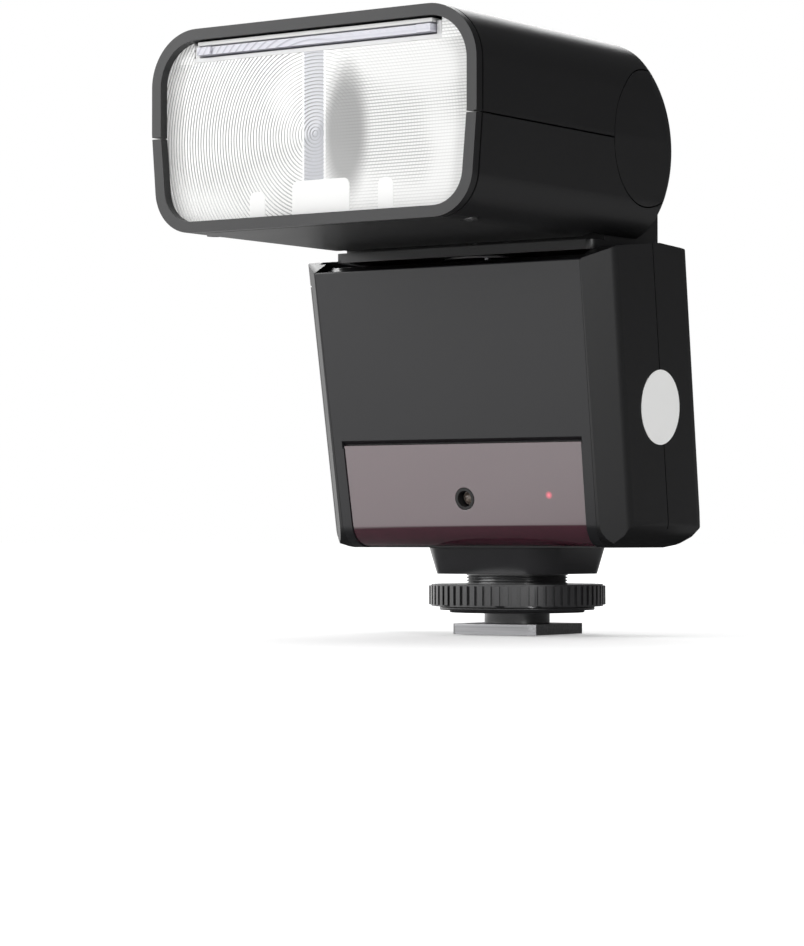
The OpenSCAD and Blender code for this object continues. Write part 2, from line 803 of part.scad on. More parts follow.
module post_screws() {
    color([0.6, 0.6, 0.62]) translate([0, pivot.x, 0]) for (a = [60 : 120 : 300])
        rotate([0, 0, a]) translate([flange_ring, 0, floor_z + 1]) screw(1, 0.4, 0.6, 2.2);
}

module yoke_outline() {
    polygon([[slab_front, seat_z], [neck_back + 0.3, seat_z], [neck_back - 0.3, seat_z + 8],
        pivot + barrel_r * ray(138), pivot, pivot + barrel_r * ray(60),
        [neck_front, seat_z + slab_t + 1], [neck_front, seat_z + slab_t], [slab_front, seat_z + slab_t]]);
    translate(pivot) circle(r = barrel_r);
}

module slab_plan(rear_r) {
    rounded_outline([[-slab_half, slab_front], [slab_half, slab_front], [slab_half, neck_back + 0.3],
        [-slab_half, neck_back + 0.3]], [1.6, 1.6, rear_r, rear_r]);
}

module yoke_block(split) {
    difference() {
        intersection() {
            across(slab_half) yoke_outline();
            // Corners seen from above: rounder between the shoulders than over them
            union() {
                translate([0, 0, seat_z - 1]) linear_extrude(ridge_z + gap - seat_z + 1) slab_plan(slab_r);
                translate([0, 0, ridge_z + gap]) linear_extrude(far) slab_plan(1.6);
            }
            translate([-far, split ? neck_split : -far, 0])
                cube([2 * far, split ? far : far + neck_split, 3 * far]);
        }
        // Room for the swivel post, its flange and its clip
        translate([0, pivot.x, seat_z - 1]) cylinder(r = flange_r + gap, h = 2.5);
        translate([0, pivot.x, seat_z - 1]) cylinder(r = 6.08, h = 9.4);
        translate([0, pivot.x, floor_z + 6.3]) cylinder(r = 7.7, h = 4.2);
        // Hollow for the cables, up into the barrel
        translate([0, pivot.x, seat_z]) cylinder(r = 5, h = 18);
        rod(5, 2 * slab_half - 14, [0, pivot.x, pivot.y]);
        for (x = [-slab_half, slab_half])
            rod(2.5 + gap / 10, 16, [x, pivot.x, pivot.y]);
        // Channel of the detent plunger, and the bores of the rear screws
        translate([0, pivot.x, floor_z + 4]) rotate([-90, 0, 0]) cylinder(r = 0.95, h = 11.6);
        for (x = [-21, 21])
            translate([x, neck_back - 14, seat_z + 4.4]) rotate([-90, 0, 0]) cylinder(r = 0.75, h = 14);
    }
}

module yoke() {
    color([0.08, 0.08, 0.085]) yoke_block(false);
}

module yoke_back_cover() {
    color([0.08, 0.08, 0.085]) difference() {
        yoke_block(true);
        for (x = [-21, 21])
            translate([x, neck_back - 1.2, seat_z + 4.4]) rotate([-90, 0, 0]) cylinder(r = 1.5, h = 4);
    }
}

module yoke_screws() {
    color([0.3, 0.3, 0.31]) for (x = [-21, 21])
        translate([x, neck_back - 1.2, seat_z + 4.4]) rotate([-90, 0, 0]) screw(1.4, 0.6, 0.7, 12);
}

// Sprung plunger that clicks into the post's notches
module detent_plunger() {
    color([0.8, 0.8, 0.82]) translate([0, pivot.x + 6.9, floor_z + 4]) {
        sphere(r = 0.85);
        rotate([-90, 0, 0]) cylinder(r = 0.85, h = 4.6);
    }
}

// ---- Head ----

// Upper or lower half of the head's cross-section: X and height from the middle
module head_section(t) {
    low = head_half - lower_draft - t;
    translate([0, head_mid])
        rounded_outline([[-low, t - head_h / 2], [low, t - head_h / 2], [head_half - t, 0],
        [head_half - t, head_h / 2 - t], [t - head_half, head_h / 2 - t], [t - head_half, 0]],
        [head_low_r - t, head_low_r - t, 0, head_top_r - t, head_top_r - t, 0]);
}

// The head drawn in by t: a long rounded section that ends in a round tail
module head_solid(t) {
    intersection() {
        along(-head_front, far) head_section(t);
        union() {
            translate([-far, -2 * far, 0]) cube([2 * far, 2 * far + tail.x, 3 * far]);
            translate([0, tail.x, tail.y]) rotate([0, 90, 0]) rotate_extrude()
                rounded_outline([[0, t - head_half], [tail_r - t, t - head_half],
                    [tail_r - t, head_half - t],
                    [0, head_half - t]], [0, tail_edge - t, tail_edge - t, 0]);
        }
    }
}

// Part of the side view that the neck and the barrel need while the head tilts
module tilt_room() {
    translate(pivot) circle(r = slot_r);
    polygon([pivot, pivot + far * ray(heel_angle), pivot + far * ray(110), pivot + far * ray(160),
        pivot + far * ray(180 + stop_angle)]);
}

module head_shell() {
    difference() {
        head_solid(0);
        along(lens_y - fit, bulkhead_y) head_section(head_wall);
        along(-2 * far, lens_y + 1) head_section(bezel_w);
        across(cheek_x) tilt_room();
        // Line behind the front lip
        difference() {
            translate([-far, -head_front + 1.7, 0]) cube([2 * far, 0.45, 3 * far]);
            along(-2 * far, far) head_section(0.4);
        }
        // Tilt pin bores and seats of the side caps
        rod(2.5, 4 * far, [0, pivot.x, pivot.y]);
        both_sides() translate([cap_x, pivot.x, pivot.y])
            rotate([0, 90, 0]) cylinder(r = cap_r + 0.25, h = 5);
    }
}

module head_seam() {
    difference() {
        translate([-far, -2 * far, seam_z - seam / 2]) cube([2 * far, 4 * far, seam]);
        head_solid(seam_deep);
    }
}

module head_upper_shell() {
    color([0.085, 0.085, 0.09]) difference() {
        head_shell();
        translate([-far, -2 * far, 0]) cube([2 * far, 4 * far, seam_z]);
        head_seam();
    }
}

module head_lower_shell() {
    color([0.085, 0.085, 0.09]) difference() {
        head_shell();
        translate([-far, -2 * far, seam_z]) cube([2 * far, 4 * far, 3 * far]);
        head_seam();
        for (x = [-27.5, 27.5])
            translate([x, -58, head_z - 1]) {
                cylinder(r = 1.6, h = 1.6);
                cylinder(r = 0.75, h = 5);
            }
    }
}

module side_caps() {
    color([0.09, 0.09, 0.095]) both_sides() intersection() {
        head_solid(0.02);
        translate([cap_x + fit / 2, pivot.x, pivot.y]) rotate([0, 90, 0]) cylinder(r = cap_r, h = 5);
    }
}

module tilt_pins() {
    color([0.6, 0.6, 0.62]) both_sides() translate([cap_x - 0.1, pivot.x, pivot.y])
        rotate([0, -90, 0]) difference() {
            cylinder(r = 2.5 - fit / 2, h = 7.8);
            translate([0, 0, -1]) cylinder(r = 1.3, h = 20);
        }
}

module front_lens() {
    t = head_wall + fit;
    half = head_half - t;
    low = half - lower_draft;
    up = head_h / 2 - t;
    outline = [[-low, -up], [low, -up], [half, 0], [half, up], [-half, up], [-half, 0]];
    radii = [head_low_r - t, head_low_r - t, 0, head_top_r - t, head_top_r - t, 0];
    color([0.9, 0.92, 0.95, 0.4]) intersection() {
        translate([0, 0, head_mid]) along(lens_y, lens_y + lens_t) polygon(stepped(outline, radii));
        translate([-far, -far * 2, 0]) cube([2 * far, 4 * far, lens_top]);
    }
}

// Trough of a parabola, open to the front, with slanted ends
function trough(s, d, h) = d * (1 - (s / h) * (s / h));

module reflector() {
    steps = 8;
    outer = [for (i = [-steps : steps]) [trough(i / steps * mirror_half_h, reflector_d, mirror_half_h),
        i / steps * mirror_half_h]];
    inner = [for (i = [steps : -1 : -steps]) [trough(i / steps * (mirror_half_h - 0.6), reflector_d - 0.6,
        mirror_half_h - 0.6), i / steps * (mirror_half_h - 0.6)]];
    color([0.85, 0.86, 0.88]) translate([0, mirror_y, mirror_z]) difference() {
        union() {
            across(mirror_half_w) polygon(concat(outer, inner));
            both_sides() intersection() {
                across(mirror_half_w) polygon(outer);
                translate([mirror_half_w - 0.7, 0, 0]) rotate([0, 0, 24]) translate([0, -1, -far])
                    cube([0.6, 2 * reflector_d, 2 * far]);
            }
        }
        // Ways for the tube and the zoom screw
        rod(tube_r + 0.3, 2 * far, [0, reflector_d - 5, 0]);
        translate([screw_x - 1.6, -1, -far]) cube([3.2, 2 * reflector_d, far - 9.4]);
    }
}

module flash_tube() {
    color([0.95, 0.95, 1, 0.5])
        rod(tube_r, 2 * mirror_half_w - 2.2, [0, mirror_y + reflector_d - 5, mirror_z]);
}

module tube_boots() {
    color([0.85, 0.85, 0.82]) both_sides()
        difference() {
            rod(tube_r + 0.8, 3, [mirror_half_w - 1.8, mirror_y + reflector_d - 5, mirror_z]);
            rod(tube_r + fit, 3.2, [mirror_half_w - 2.6, mirror_y + reflector_d - 5, mirror_z]);
        }
}

module zoom_carriage() {
    y = carriage_y;
    color([0.15, 0.15, 0.16]) difference() {
        union() {
            translate([-rail_x - 1.2, y, mirror_z - 4]) cube([2 * rail_x + 2.4, 1.4, 8]);
            translate([screw_x - 3, y, screw_z - 2]) cube([6, 3, mirror_z - screw_z]);
            both_sides() translate([rail_x, y + 2, mirror_z])
                rotate([90, 0, 0]) cylinder(r = rail_r + 0.55, h = 4, center = true);
        }
        both_sides() translate([rail_x, y, mirror_z]) rotate([90, 0, 0])
            cylinder(r = rail_r + 0.04, h = 20, center = true);
        translate([screw_x, y, screw_z]) rotate([90, 0, 0]) cylinder(r = 1.25, h = 20, center = true);
    }
}

module zoom_screw() {
    color([0.7, 0.7, 0.72]) translate([screw_x, motor_y + 2, screw_z]) rotate([90, 0, 0])
        cylinder(r = 1.2, h = motor_y + 2.5 - carriage_y);
}

module zoom_motor() {
    color([0.5, 0.5, 0.52]) translate([screw_x, bulkhead_y - fit, screw_z])
        rotate([90, 0, 0]) difference() {
        union() {
            cylinder(r = 3.4, h = bulkhead_y - fit - motor_y - 0.6);
            cylinder(r = 1.8, h = bulkhead_y - fit - motor_y);
        }
        translate([0, 0, bulkhead_y - motor_y - 2.2]) cylinder(r = 1.25, h = 5);
    }
}

module guide_rails() {
    color([0.75, 0.75, 0.77]) both_sides() translate([rail_x, bulkhead_y, mirror_z]) rotate([90, 0, 0])
        cylinder(r = rail_r, h = bulkhead_y - lens_y - lens_t - 0.1);
}

module card_shelf() {
    color([0.12, 0.12, 0.13]) {
        translate([-panel_half - 3, lens_y + 0.1, shelf_z])
            cube([2 * panel_half + 6, bulkhead_y - lens_y - 0.1, shelf_t]);
        both_sides() translate([panel_half + gap, lens_y + 0.1, shelf_z])
            cube([1, bulkhead_y - lens_y - 0.1, panel_t + card_t + 1]);
    }
}

module wide_panel() {
    color([0.85, 0.87, 0.92, 0.5]) {
        translate([-panel_half, lens_y, panel_z]) cube([2 * panel_half, panel_len, panel_t]);
        // Finger lip
        translate([-panel_half, lens_y - 0.9, panel_z]) cube([2 * panel_half, 0.9, panel_t]);
        for (s = [-1, 1])
            translate([s * (panel_half - 1.6) - 1.5, lens_y - 1.3, panel_z]) cube([3, 0.5, panel_t]);
    }
}

module bounce_card() {
    color([0.95, 0.95, 0.95]) translate([-panel_half, lens_y - 0.9, card_z])
        cube([2 * panel_half, panel_len + 2, card_t]);
}

module head_screws() {
    color([0.25, 0.25, 0.26]) for (x = [-27.5, 27.5])
        translate([x, -58, head_z + 0.6]) mirror([0, 0, 1]) screw(1.5, 0.5, 0.7, 0.9);
}

module trigger_coil() {
    color([0.3, 0.15, 0.1]) translate([-screw_x, bulkhead_y - 4.7, screw_z]) rotate([0, 90, 0])
        cylinder(r = 3.2, h = 10, center = true);
}

front_cover();
rear_cover();
front_plate();
sensor_window();
sensor_tube();
photo_sensor();
focus_lamp();
quality_sticker();
body_screws();
main_board();
flash_capacitor();
step_up_transformer();
display_module();
display_window();
mode_button();
wireless_button();
test_button();
power_switch();
select_dial();
set_button();
battery_tray();
aa_cells();
battery_contacts();
battery_door();
door_hinge_pin();
usb_socket();
foot_block();
thread_column();
lock_ring();
clamp_plate();
shoe_plate();
contact_pins();
lock_pin();
foot_screws();
swivel_post();
post_clip();
post_screws();
yoke();
yoke_back_cover();
yoke_screws();
detent_plunger();
head_upper_shell();
head_lower_shell();
side_caps();
tilt_pins();
front_lens();
reflector();
flash_tube();
tube_boots();
zoom_carriage();
zoom_screw();
zoom_motor();
guide_rails();
card_shelf();
wide_panel();
bounce_card();
head_screws();
trigger_coil();
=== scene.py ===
"""Looks of a compact hot shoe flash: finishes, soft edges, a grooved lens and a small daylight studio."""

import math

import bmesh
import bpy
from bpy.props import FloatProperty, FloatVectorProperty, IntProperty, PointerProperty
from bpy.types import Operator, Panel, PropertyGroup
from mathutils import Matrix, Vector


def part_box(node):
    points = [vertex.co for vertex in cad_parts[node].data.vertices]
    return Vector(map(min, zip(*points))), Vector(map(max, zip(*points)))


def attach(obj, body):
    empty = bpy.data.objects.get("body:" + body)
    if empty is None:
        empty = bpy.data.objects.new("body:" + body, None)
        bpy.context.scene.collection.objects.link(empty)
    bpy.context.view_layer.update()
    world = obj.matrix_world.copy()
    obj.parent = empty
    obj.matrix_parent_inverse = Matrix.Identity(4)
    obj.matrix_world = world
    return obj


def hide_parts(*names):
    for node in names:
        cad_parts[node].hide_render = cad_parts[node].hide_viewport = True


bl_info = {
    "name": "Speedlight flash looks",
    "version": (1, 0, 0),
    "blender": (4, 5, 0),
    "location": "3D View > Sidebar > Flash",
    "description": "Finishes and fine pieces of a compact hot shoe flash",
    "category": "Object",
}

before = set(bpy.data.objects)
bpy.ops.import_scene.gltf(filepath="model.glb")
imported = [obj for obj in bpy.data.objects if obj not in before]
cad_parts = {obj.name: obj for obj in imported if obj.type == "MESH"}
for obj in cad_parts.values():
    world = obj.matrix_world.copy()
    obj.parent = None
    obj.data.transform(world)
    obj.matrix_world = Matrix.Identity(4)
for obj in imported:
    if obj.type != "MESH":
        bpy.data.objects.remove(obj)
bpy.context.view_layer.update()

MM = 0.001


# ---- Settings ----


def colour(name, description, rgb):
    return FloatVectorProperty(
        name=name, description=description, default=rgb, size=3, min=0, max=1, subtype="COLOR"
    )


def length(name, description, metres, low=0.0, high=1.0):
    return FloatProperty(
        name=name, description=description, default=metres, min=low, max=high, unit="LENGTH", precision=5
    )


class ShellSettings(PropertyGroup):
    """Moulded black pieces."""

    black: colour("Black", "Colour of the moulded shells", (0.0085, 0.0085, 0.0092))
    plate: colour("Front plate", "Colour of the smooth front plate", (0.014, 0.014, 0.0155))
    foot: colour("Foot", "Colour of the foot and its ring", (0.024, 0.024, 0.026))
    shine: FloatProperty(name="Shine", description="Specular level of the shells", default=0.45, min=0, max=1)
    edge: length("Edge radius", "Rounding of the moulded edges", 0.28 * MM, 0.0, 0.001)
    fine_edge: length("Fine edge radius", "Rounding of the small pieces' edges", 0.12 * MM, 0.0, 0.001)


class WindowSettings(PropertyGroup):
    """The red sensor window, what lies behind it, and the sticker."""

    red: colour("Red", "Colour of the window's plastic", (0.085, 0.02, 0.036))
    depth: FloatProperty(name="See-through", description="How far the window lets light through", default=0.3, max=1)
    glow: FloatProperty(name="Glow", description="Strength of the small red lamp", default=2.0, min=0)
    sticker: colour("Sticker", "Colour of the blank round sticker", (0.93, 0.93, 0.92))


class LensSettings(PropertyGroup):
    """The grooved lens, its band of painted shade, its painted glow and the clips at its lower edge."""

    pitch: length("Groove pitch", "Distance from one groove to the next", 0.62 * MM, 0.0002, 0.003)
    depth: length("Groove depth", "Height of each groove's step", 0.13 * MM, 0.0, 0.001)
    turns: IntProperty(name="Steps", description="Steps round each groove", default=160, min=24, max=720)
    # The band is painted shade, with painted highlights along its edges.
    painted_band: length("Band width", "Width of the upright band down the lens", 4.6 * MM, 0.0, 0.02)
    # The glow is painted light: an emission that brightens the lens, which is no lamp.
    glow: FloatProperty(name="Glow", description="Light gathered behind the lens and given back", default=0.12, max=1)
    clip: length("Clip width", "Width of the white clip under the lens", 12.4 * MM, 0.0, 0.03)


class RearSettings(PropertyGroup):
    """Display, buttons and dial."""

    display: colour("Display", "Colour of the unlit display", (0.2, 0.24, 0.2))
    button: colour("Buttons", "Colour of the buttons and the dial", (0.02, 0.02, 0.022))
    amber: colour("Test button", "Colour of the lit test button", (0.75, 0.28, 0.05))


class InnerSettings(PropertyGroup):
    """Metal, board and cells."""

    steel: colour("Steel", "Colour of the bright steel", (0.62, 0.62, 0.64))
    board: colour("Board", "Colour of the circuit board", (0.012, 0.11, 0.05))
    cell: colour("Cell sleeve", "Colour of the cells' sleeves", (0.5, 0.33, 0.06))


class StageSettings(PropertyGroup):
    """Camera, lamps, floor and backdrop."""

    lens: FloatProperty(name="Lens", description="Focal length of the camera", default=126.05, min=20, unit="CAMERA")
    turn: FloatProperty(
        name="Turn", description="Camera's turn to the left of +Y", default=math.radians(34.74), subtype="ANGLE"
    )
    rise: FloatProperty(
        name="Rise", description="Camera's tilt above level", default=math.radians(1.11), subtype="ANGLE"
    )
    place: FloatVectorProperty(
        name="Place", description="Camera's place", default=(0.340958, -0.530066, 0.01834), subtype="TRANSLATION"
    )
    paper: colour("Paper", "Colour of the floor", (0.86, 0.86, 0.86))
    key: FloatProperty(name="Key", description="Power of the large lamp at the left", default=4.4, min=0)
    top: FloatProperty(name="Top", description="Power of the lamp overhead", default=2.6, min=0)
    strip: FloatProperty(name="Strip", description="Power of the tall narrow lamp at the right", default=1.1, min=0)
    back: FloatProperty(name="Back", description="Power of the lamp behind", default=2.2, min=0)
    fill: FloatProperty(name="Fill", description="Strength of the light from all round", default=0.32, min=0)
    mirrored: FloatProperty(name="Floor's mirror", description="Share of the floor seen in gloss", default=0.2, max=1)
    shade: FloatProperty(name="Shade", description="Strength reflected from the dark side", default=0.065, min=0)


SETTINGS = {
    "flash_shell": ShellSettings,
    "flash_window": WindowSettings,
    "flash_lens": LensSettings,
    "flash_rear": RearSettings,
    "flash_inner": InnerSettings,
    "flash_stage": StageSettings,
}


# ---- Shader nodes ----


class Nodes:
    """Short hand for adding and joining the nodes of one tree."""

    def __init__(self, tree):
        self.tree = tree
        self.across = 0

    def add(self, kind, values=None, **settings):
        node = self.tree.nodes.new(kind)
        node.location = (self.across, 0)
        self.across += 180
        for name, value in settings.items():
            setattr(node, name, value)
        for socket, value in (values or {}).items():
            if isinstance(value, bpy.types.NodeSocket):
                self.tree.links.new(value, node.inputs[socket])
            else:
                node.inputs[socket].default_value = value
        return node

    def link(self, start, end):
        self.tree.links.new(start, end)

    def math(self, operation, first, second=0.0, third=0.0):
        node = self.add("ShaderNodeMath", {0: first, 1: second, 2: third}, operation=operation)
        return node.outputs[0]

    def ramp(self, factor, stops):
        node = self.add("ShaderNodeValToRGB", {0: factor})
        elements = node.color_ramp.elements
        elements[0].position, elements[0].color = stops[0]
        elements[1].position, elements[1].color = stops[-1]
        for position, shade in stops[1:-1]:
            elements.new(position).color = shade
        return node.outputs[0]


def effect(name, inputs, outputs):
    """Makes an empty shader group with its sockets, and returns it with its inner nodes."""
    tree = bpy.data.node_groups.new(name, "ShaderNodeTree")
    for socket, (kind, default) in inputs.items():
        made = tree.interface.new_socket(socket, in_out="INPUT", socket_type=kind)
        made.default_value = default
    for socket, kind in outputs.items():
        tree.interface.new_socket(socket, in_out="OUTPUT", socket_type=kind)
    n = Nodes(tree)
    return tree, n, n.add("NodeGroupInput").outputs, n.add("NodeGroupOutput").inputs


def effect_moulded():
    """Fine grain of a moulded or blasted surface, with a slow drift of gloss and a little dust."""
    tree, n, given, out = effect(
        "Moulded grain",
        {
            "Colour": ("NodeSocketColor", (0.02, 0.02, 0.02, 1)),
            "Roughness": ("NodeSocketFloat", 0.45),
            "Grain size": ("NodeSocketFloat", 2600.0),
            "Drift": ("NodeSocketFloat", 0.06),
            "Dust": ("NodeSocketFloat", 0.3),
        },
        {"Colour": "NodeSocketColor", "Roughness": "NodeSocketFloat", "Height": "NodeSocketFloat"},
    )
    place = n.add("ShaderNodeTexCoord").outputs["Object"]
    grain = n.add("ShaderNodeTexNoise", {"Vector": place, "Scale": given["Grain size"], "Detail": 2.0}).outputs[0]
    slow = n.add("ShaderNodeTexNoise", {"Vector": place, "Scale": 55.0, "Detail": 3.0}).outputs[0]
    specks = n.add("ShaderNodeTexVoronoi", {"Vector": place, "Scale": 260.0}).outputs["Distance"]
    chosen = n.add("ShaderNodeTexNoise", {"Vector": place, "Scale": 90.0, "Detail": 1.0}).outputs[0]
    near = n.math("LESS_THAN", specks, 0.05)
    few = n.math("GREATER_THAN", chosen, 0.66)
    dust = n.math("MULTIPLY", n.math("MULTIPLY", near, few), given["Dust"])
    tint = n.add(
        "ShaderNodeMix", {0: dust, 6: given["Colour"], 7: (0.35, 0.34, 0.33, 1)}, data_type="RGBA"
    ).outputs[2]
    n.link(tint, out["Colour"])
    centred = n.math("SUBTRACT", slow, 0.5)
    rough = n.math("MULTIPLY_ADD", centred, given["Drift"], given["Roughness"])
    rough = n.math("MULTIPLY_ADD", n.math("SUBTRACT", grain, 0.5), n.math("MULTIPLY", given["Drift"], 0.8), rough)
    n.link(rough, out["Roughness"])
    n.link(grain, out["Height"])
    return tree


def effect_brushed():
    """Fine parallel scratches along X with a slow change of tone."""
    tree, n, given, out = effect(
        "Brushed lines",
        {"Colour": ("NodeSocketColor", (0.6, 0.6, 0.62, 1)), "Roughness": ("NodeSocketFloat", 0.3)},
        {"Colour": "NodeSocketColor", "Roughness": "NodeSocketFloat", "Height": "NodeSocketFloat"},
    )
    place = n.add("ShaderNodeTexCoord").outputs["Object"]
    drawn = n.add("ShaderNodeMapping", {"Vector": place, "Scale": (40.0, 2400.0, 2400.0)}).outputs[0]
    lines = n.add("ShaderNodeTexNoise", {"Vector": drawn, "Scale": 1.0, "Detail": 4.0}).outputs[0]
    dark = n.add("ShaderNodeMix", {0: 0.75, 6: given["Colour"], 7: (0.1, 0.1, 0.1, 1)}, data_type="RGBA").outputs[2]
    tone = n.add("ShaderNodeMix", {0: lines, 6: dark, 7: given["Colour"]}, data_type="RGBA").outputs[2]
    n.link(tone, out["Colour"])
    n.link(n.math("MULTIPLY_ADD", lines, 0.2, given["Roughness"]), out["Roughness"])
    n.link(lines, out["Height"])
    return tree


def effect_printed():
    """Two tones along an axis, with a soft change at a set height and a faint mottle."""
    tree, n, given, out = effect(
        "Two tones",
        {
            "Colour": ("NodeSocketColor", (0.5, 0.33, 0.06, 1)),
            "Second colour": ("NodeSocketColor", (0.02, 0.02, 0.02, 1)),
            "Roughness": ("NodeSocketFloat", 0.3),
            "Height of change": ("NodeSocketFloat", 0.03),
        },
        {"Colour": "NodeSocketColor", "Roughness": "NodeSocketFloat", "Height": "NodeSocketFloat"},
    )
    place = n.add("ShaderNodeTexCoord").outputs["Object"]
    height = n.add("ShaderNodeSeparateXYZ", {0: place}).outputs[2]
    side = n.math("GREATER_THAN", height, given["Height of change"])
    mottle = n.add("ShaderNodeTexNoise", {"Vector": place, "Scale": 400.0, "Detail": 2.0}).outputs[0]
    tone = n.add(
        "ShaderNodeMix", {0: side, 6: given["Colour"], 7: given["Second colour"]}, data_type="RGBA"
    ).outputs[2]
    n.link(tone, out["Colour"])
    n.link(n.math("MULTIPLY_ADD", mottle, 0.12, given["Roughness"]), out["Roughness"])
    n.link(mottle, out["Height"])
    return tree


def effect_grooves():
    """Concentric grooves round a centre in the XZ plane as bump, with painted shade along the grooves and along level
    lines across them, an upright band of painted shade with painted highlights at its edges, and a patch of painted
    shade.
    """
    tree, n, given, out = effect(
        "Lens grooves",
        {
            "Colour": ("NodeSocketColor", (0.96, 0.96, 0.95, 1)),
            # The groove, band and patch colours are painted shade: darker tones laid on the clear lens in place of
            # its shading.
            "Painted groove shade": ("NodeSocketColor", (0.36, 0.36, 0.36, 1)),
            "Painted band shade": ("NodeSocketColor", (0.46, 0.47, 0.52, 1)),
            "Painted patch shade": ("NodeSocketColor", (0.22, 0.22, 0.22, 1)),
            "Roughness": ("NodeSocketFloat", 0.12),
            "Centre X": ("NodeSocketFloat", 0.0),
            "Centre Z": ("NodeSocketFloat", 0.0887),
            "Pitch": ("NodeSocketFloat", 0.00062),
            "Band X": ("NodeSocketFloat", 0.0),
            "Band width": ("NodeSocketFloat", 0.0),
            "Patch X": ("NodeSocketFloat", 0.0),
            "Patch": ("NodeSocketFloat", 0.0),
        },
        {"Colour": "NodeSocketColor", "Roughness": "NodeSocketFloat", "Height": "NodeSocketFloat"},
    )
    whole = n.add("ShaderNodeTexCoord").outputs["Object"]
    place = n.add("ShaderNodeSeparateXYZ", {0: whole})
    across = n.math("SUBTRACT", place.outputs[0], given["Centre X"])
    upward = n.math("SUBTRACT", place.outputs[2], given["Centre Z"])

    def blend(painted_groove_shade, first, second):
        return n.add("ShaderNodeMix", {0: painted_groove_shade, 6: first, 7: second}, data_type="RGBA").outputs[2]

    def rise(value, start, end, top=1.0):
        return n.add(
            "ShaderNodeMapRange", {0: value, 1: start, 2: end, 3: 0.0, 4: top}, interpolation_type="SMOOTHSTEP"
        ).outputs[0]

    def distance(first, second):
        return n.math("SQRT", n.math("ADD", n.math("POWER", first, 2.0), n.math("POWER", second, 2.0)))

    # Painted shade along the grooves, and along level lines on the right, made patchy by the noise.
    ring = n.math("FRACT", n.math("DIVIDE", distance(across, upward), given["Pitch"]))
    level = n.math("FRACT", n.math("DIVIDE", place.outputs[2], n.math("MULTIPLY", given["Pitch"], 0.9)))
    soft = n.add("ShaderNodeTexNoise", {"Vector": whole, "Scale": 55.0, "Detail": 1.0}).outputs[0]
    blotch = rise(soft, 0.42, 0.6)
    right = rise(across, -0.002, 0.008, 0.75)
    rings = n.math("MULTIPLY", rise(ring, 0.55, 0.9), n.math("SUBTRACT", 1.0, right))
    levels = n.math("MULTIPLY", rise(level, 0.5, 0.85), right)
    lines = n.math("MAXIMUM", rings, levels)
    # Painted shade patch: a darker oval to the right of the centre.
    patch_half_width, patch_half_height, edge_half_width = 0.0052, 0.0125, 0.00022
    patch_across = n.math("DIVIDE", n.math("SUBTRACT", across, given["Patch X"]), patch_half_width)
    painted_shade_patch = rise(distance(patch_across, n.math("DIVIDE", upward, patch_half_height)), 1.15, 0.55)
    painted_shade_patch = n.math("MULTIPLY", painted_shade_patch, given["Patch"])
    # Painted shade band running upright down the lens.
    off_band = n.math("ABSOLUTE", n.math("SUBTRACT", across, given["Band X"]))
    half = n.math("MULTIPLY", given["Band width"], 0.5)
    painted_band = n.math("LESS_THAN", off_band, half)
    edge = n.math("LESS_THAN", n.math("ABSOLUTE", n.math("SUBTRACT", off_band, half)), edge_half_width)
    edge = n.math("MULTIPLY", edge, n.math("GREATER_THAN", given["Band width"], 0.0001))
    tone = blend(painted_shade_patch, given["Colour"], given["Painted patch shade"])
    tone = blend(n.math("MULTIPLY", painted_band, 0.75), tone, given["Painted band shade"])
    painted_groove_shade = n.math("MULTIPLY", lines, n.math("MULTIPLY_ADD", blotch, 0.75, 0.38))
    tone = blend(painted_groove_shade, tone, given["Painted groove shade"])
    # Painted highlight: thin white lines along the band's two edges.
    tone = blend(n.math("MULTIPLY", edge, 0.8), tone, (1, 1, 1, 1))
    n.link(tone, out["Colour"])
    n.link(n.math("MULTIPLY_ADD", painted_groove_shade, 0.1, given["Roughness"]), out["Roughness"])
    n.link(ring, out["Height"])
    return tree


EFFECTS = {}


def material(name, effect_name=None, effect_values=None, bump=0.0, bump_distance=0.00002, **shader):
    """A Principled material, with one of the effects feeding its colour, roughness and bump."""
    made = bpy.data.materials.new(name)
    made.use_nodes = True
    made.node_tree.nodes.clear()
    n = Nodes(made.node_tree)
    surface = n.add("ShaderNodeBsdfPrincipled", {key.replace("_", " "): v for key, v in shader.items()})
    if effect_name:
        group = n.add("ShaderNodeGroup", node_tree=EFFECTS[effect_name])
        for key, value in (effect_values or {}).items():
            group.inputs[key].default_value = value
        n.link(group.outputs["Colour"], surface.inputs["Base Color"])
        n.link(group.outputs["Roughness"], surface.inputs["Roughness"])
        if bump:
            relief = n.add(
                "ShaderNodeBump", {"Strength": bump, "Distance": bump_distance, "Height": group.outputs["Height"]}
            )
            n.link(relief.outputs[0], surface.inputs["Normal"])
    n.link(surface.outputs[0], n.add("ShaderNodeOutputMaterial").inputs[0])
    return made, n, surface


def rgba(shade, alpha=1.0):
    return (*shade, alpha)


# ---- Meshes ----


def soften_group():
    """Geometry nodes that shade smooth wherever two faces meet at less than 28 degrees."""
    tree = bpy.data.node_groups.new("Smooth by angle", "GeometryNodeTree")
    tree.interface.new_socket("Geometry", in_out="INPUT", socket_type="NodeSocketGeometry")
    tree.interface.new_socket("Geometry", in_out="OUTPUT", socket_type="NodeSocketGeometry")
    n = Nodes(tree)
    start = n.add("NodeGroupInput").outputs[0]
    faces = n.add("GeometryNodeSetShadeSmooth", {"Geometry": start, "Shade Smooth": True}, domain="FACE")
    angle = n.add("GeometryNodeInputMeshEdgeAngle").outputs["Unsigned Angle"]
    sharp = n.add(
        "FunctionNodeCompare", {0: angle, 1: math.radians(28)}, data_type="FLOAT", operation="GREATER_THAN"
    ).outputs[0]
    edges = n.add(
        "GeometryNodeSetShadeSmooth",
        {"Geometry": faces.outputs[0], "Selection": sharp, "Shade Smooth": False},
        domain="EDGE",
    )
    n.link(edges.outputs[0], n.add("NodeGroupOutput").inputs[0])
    return tree


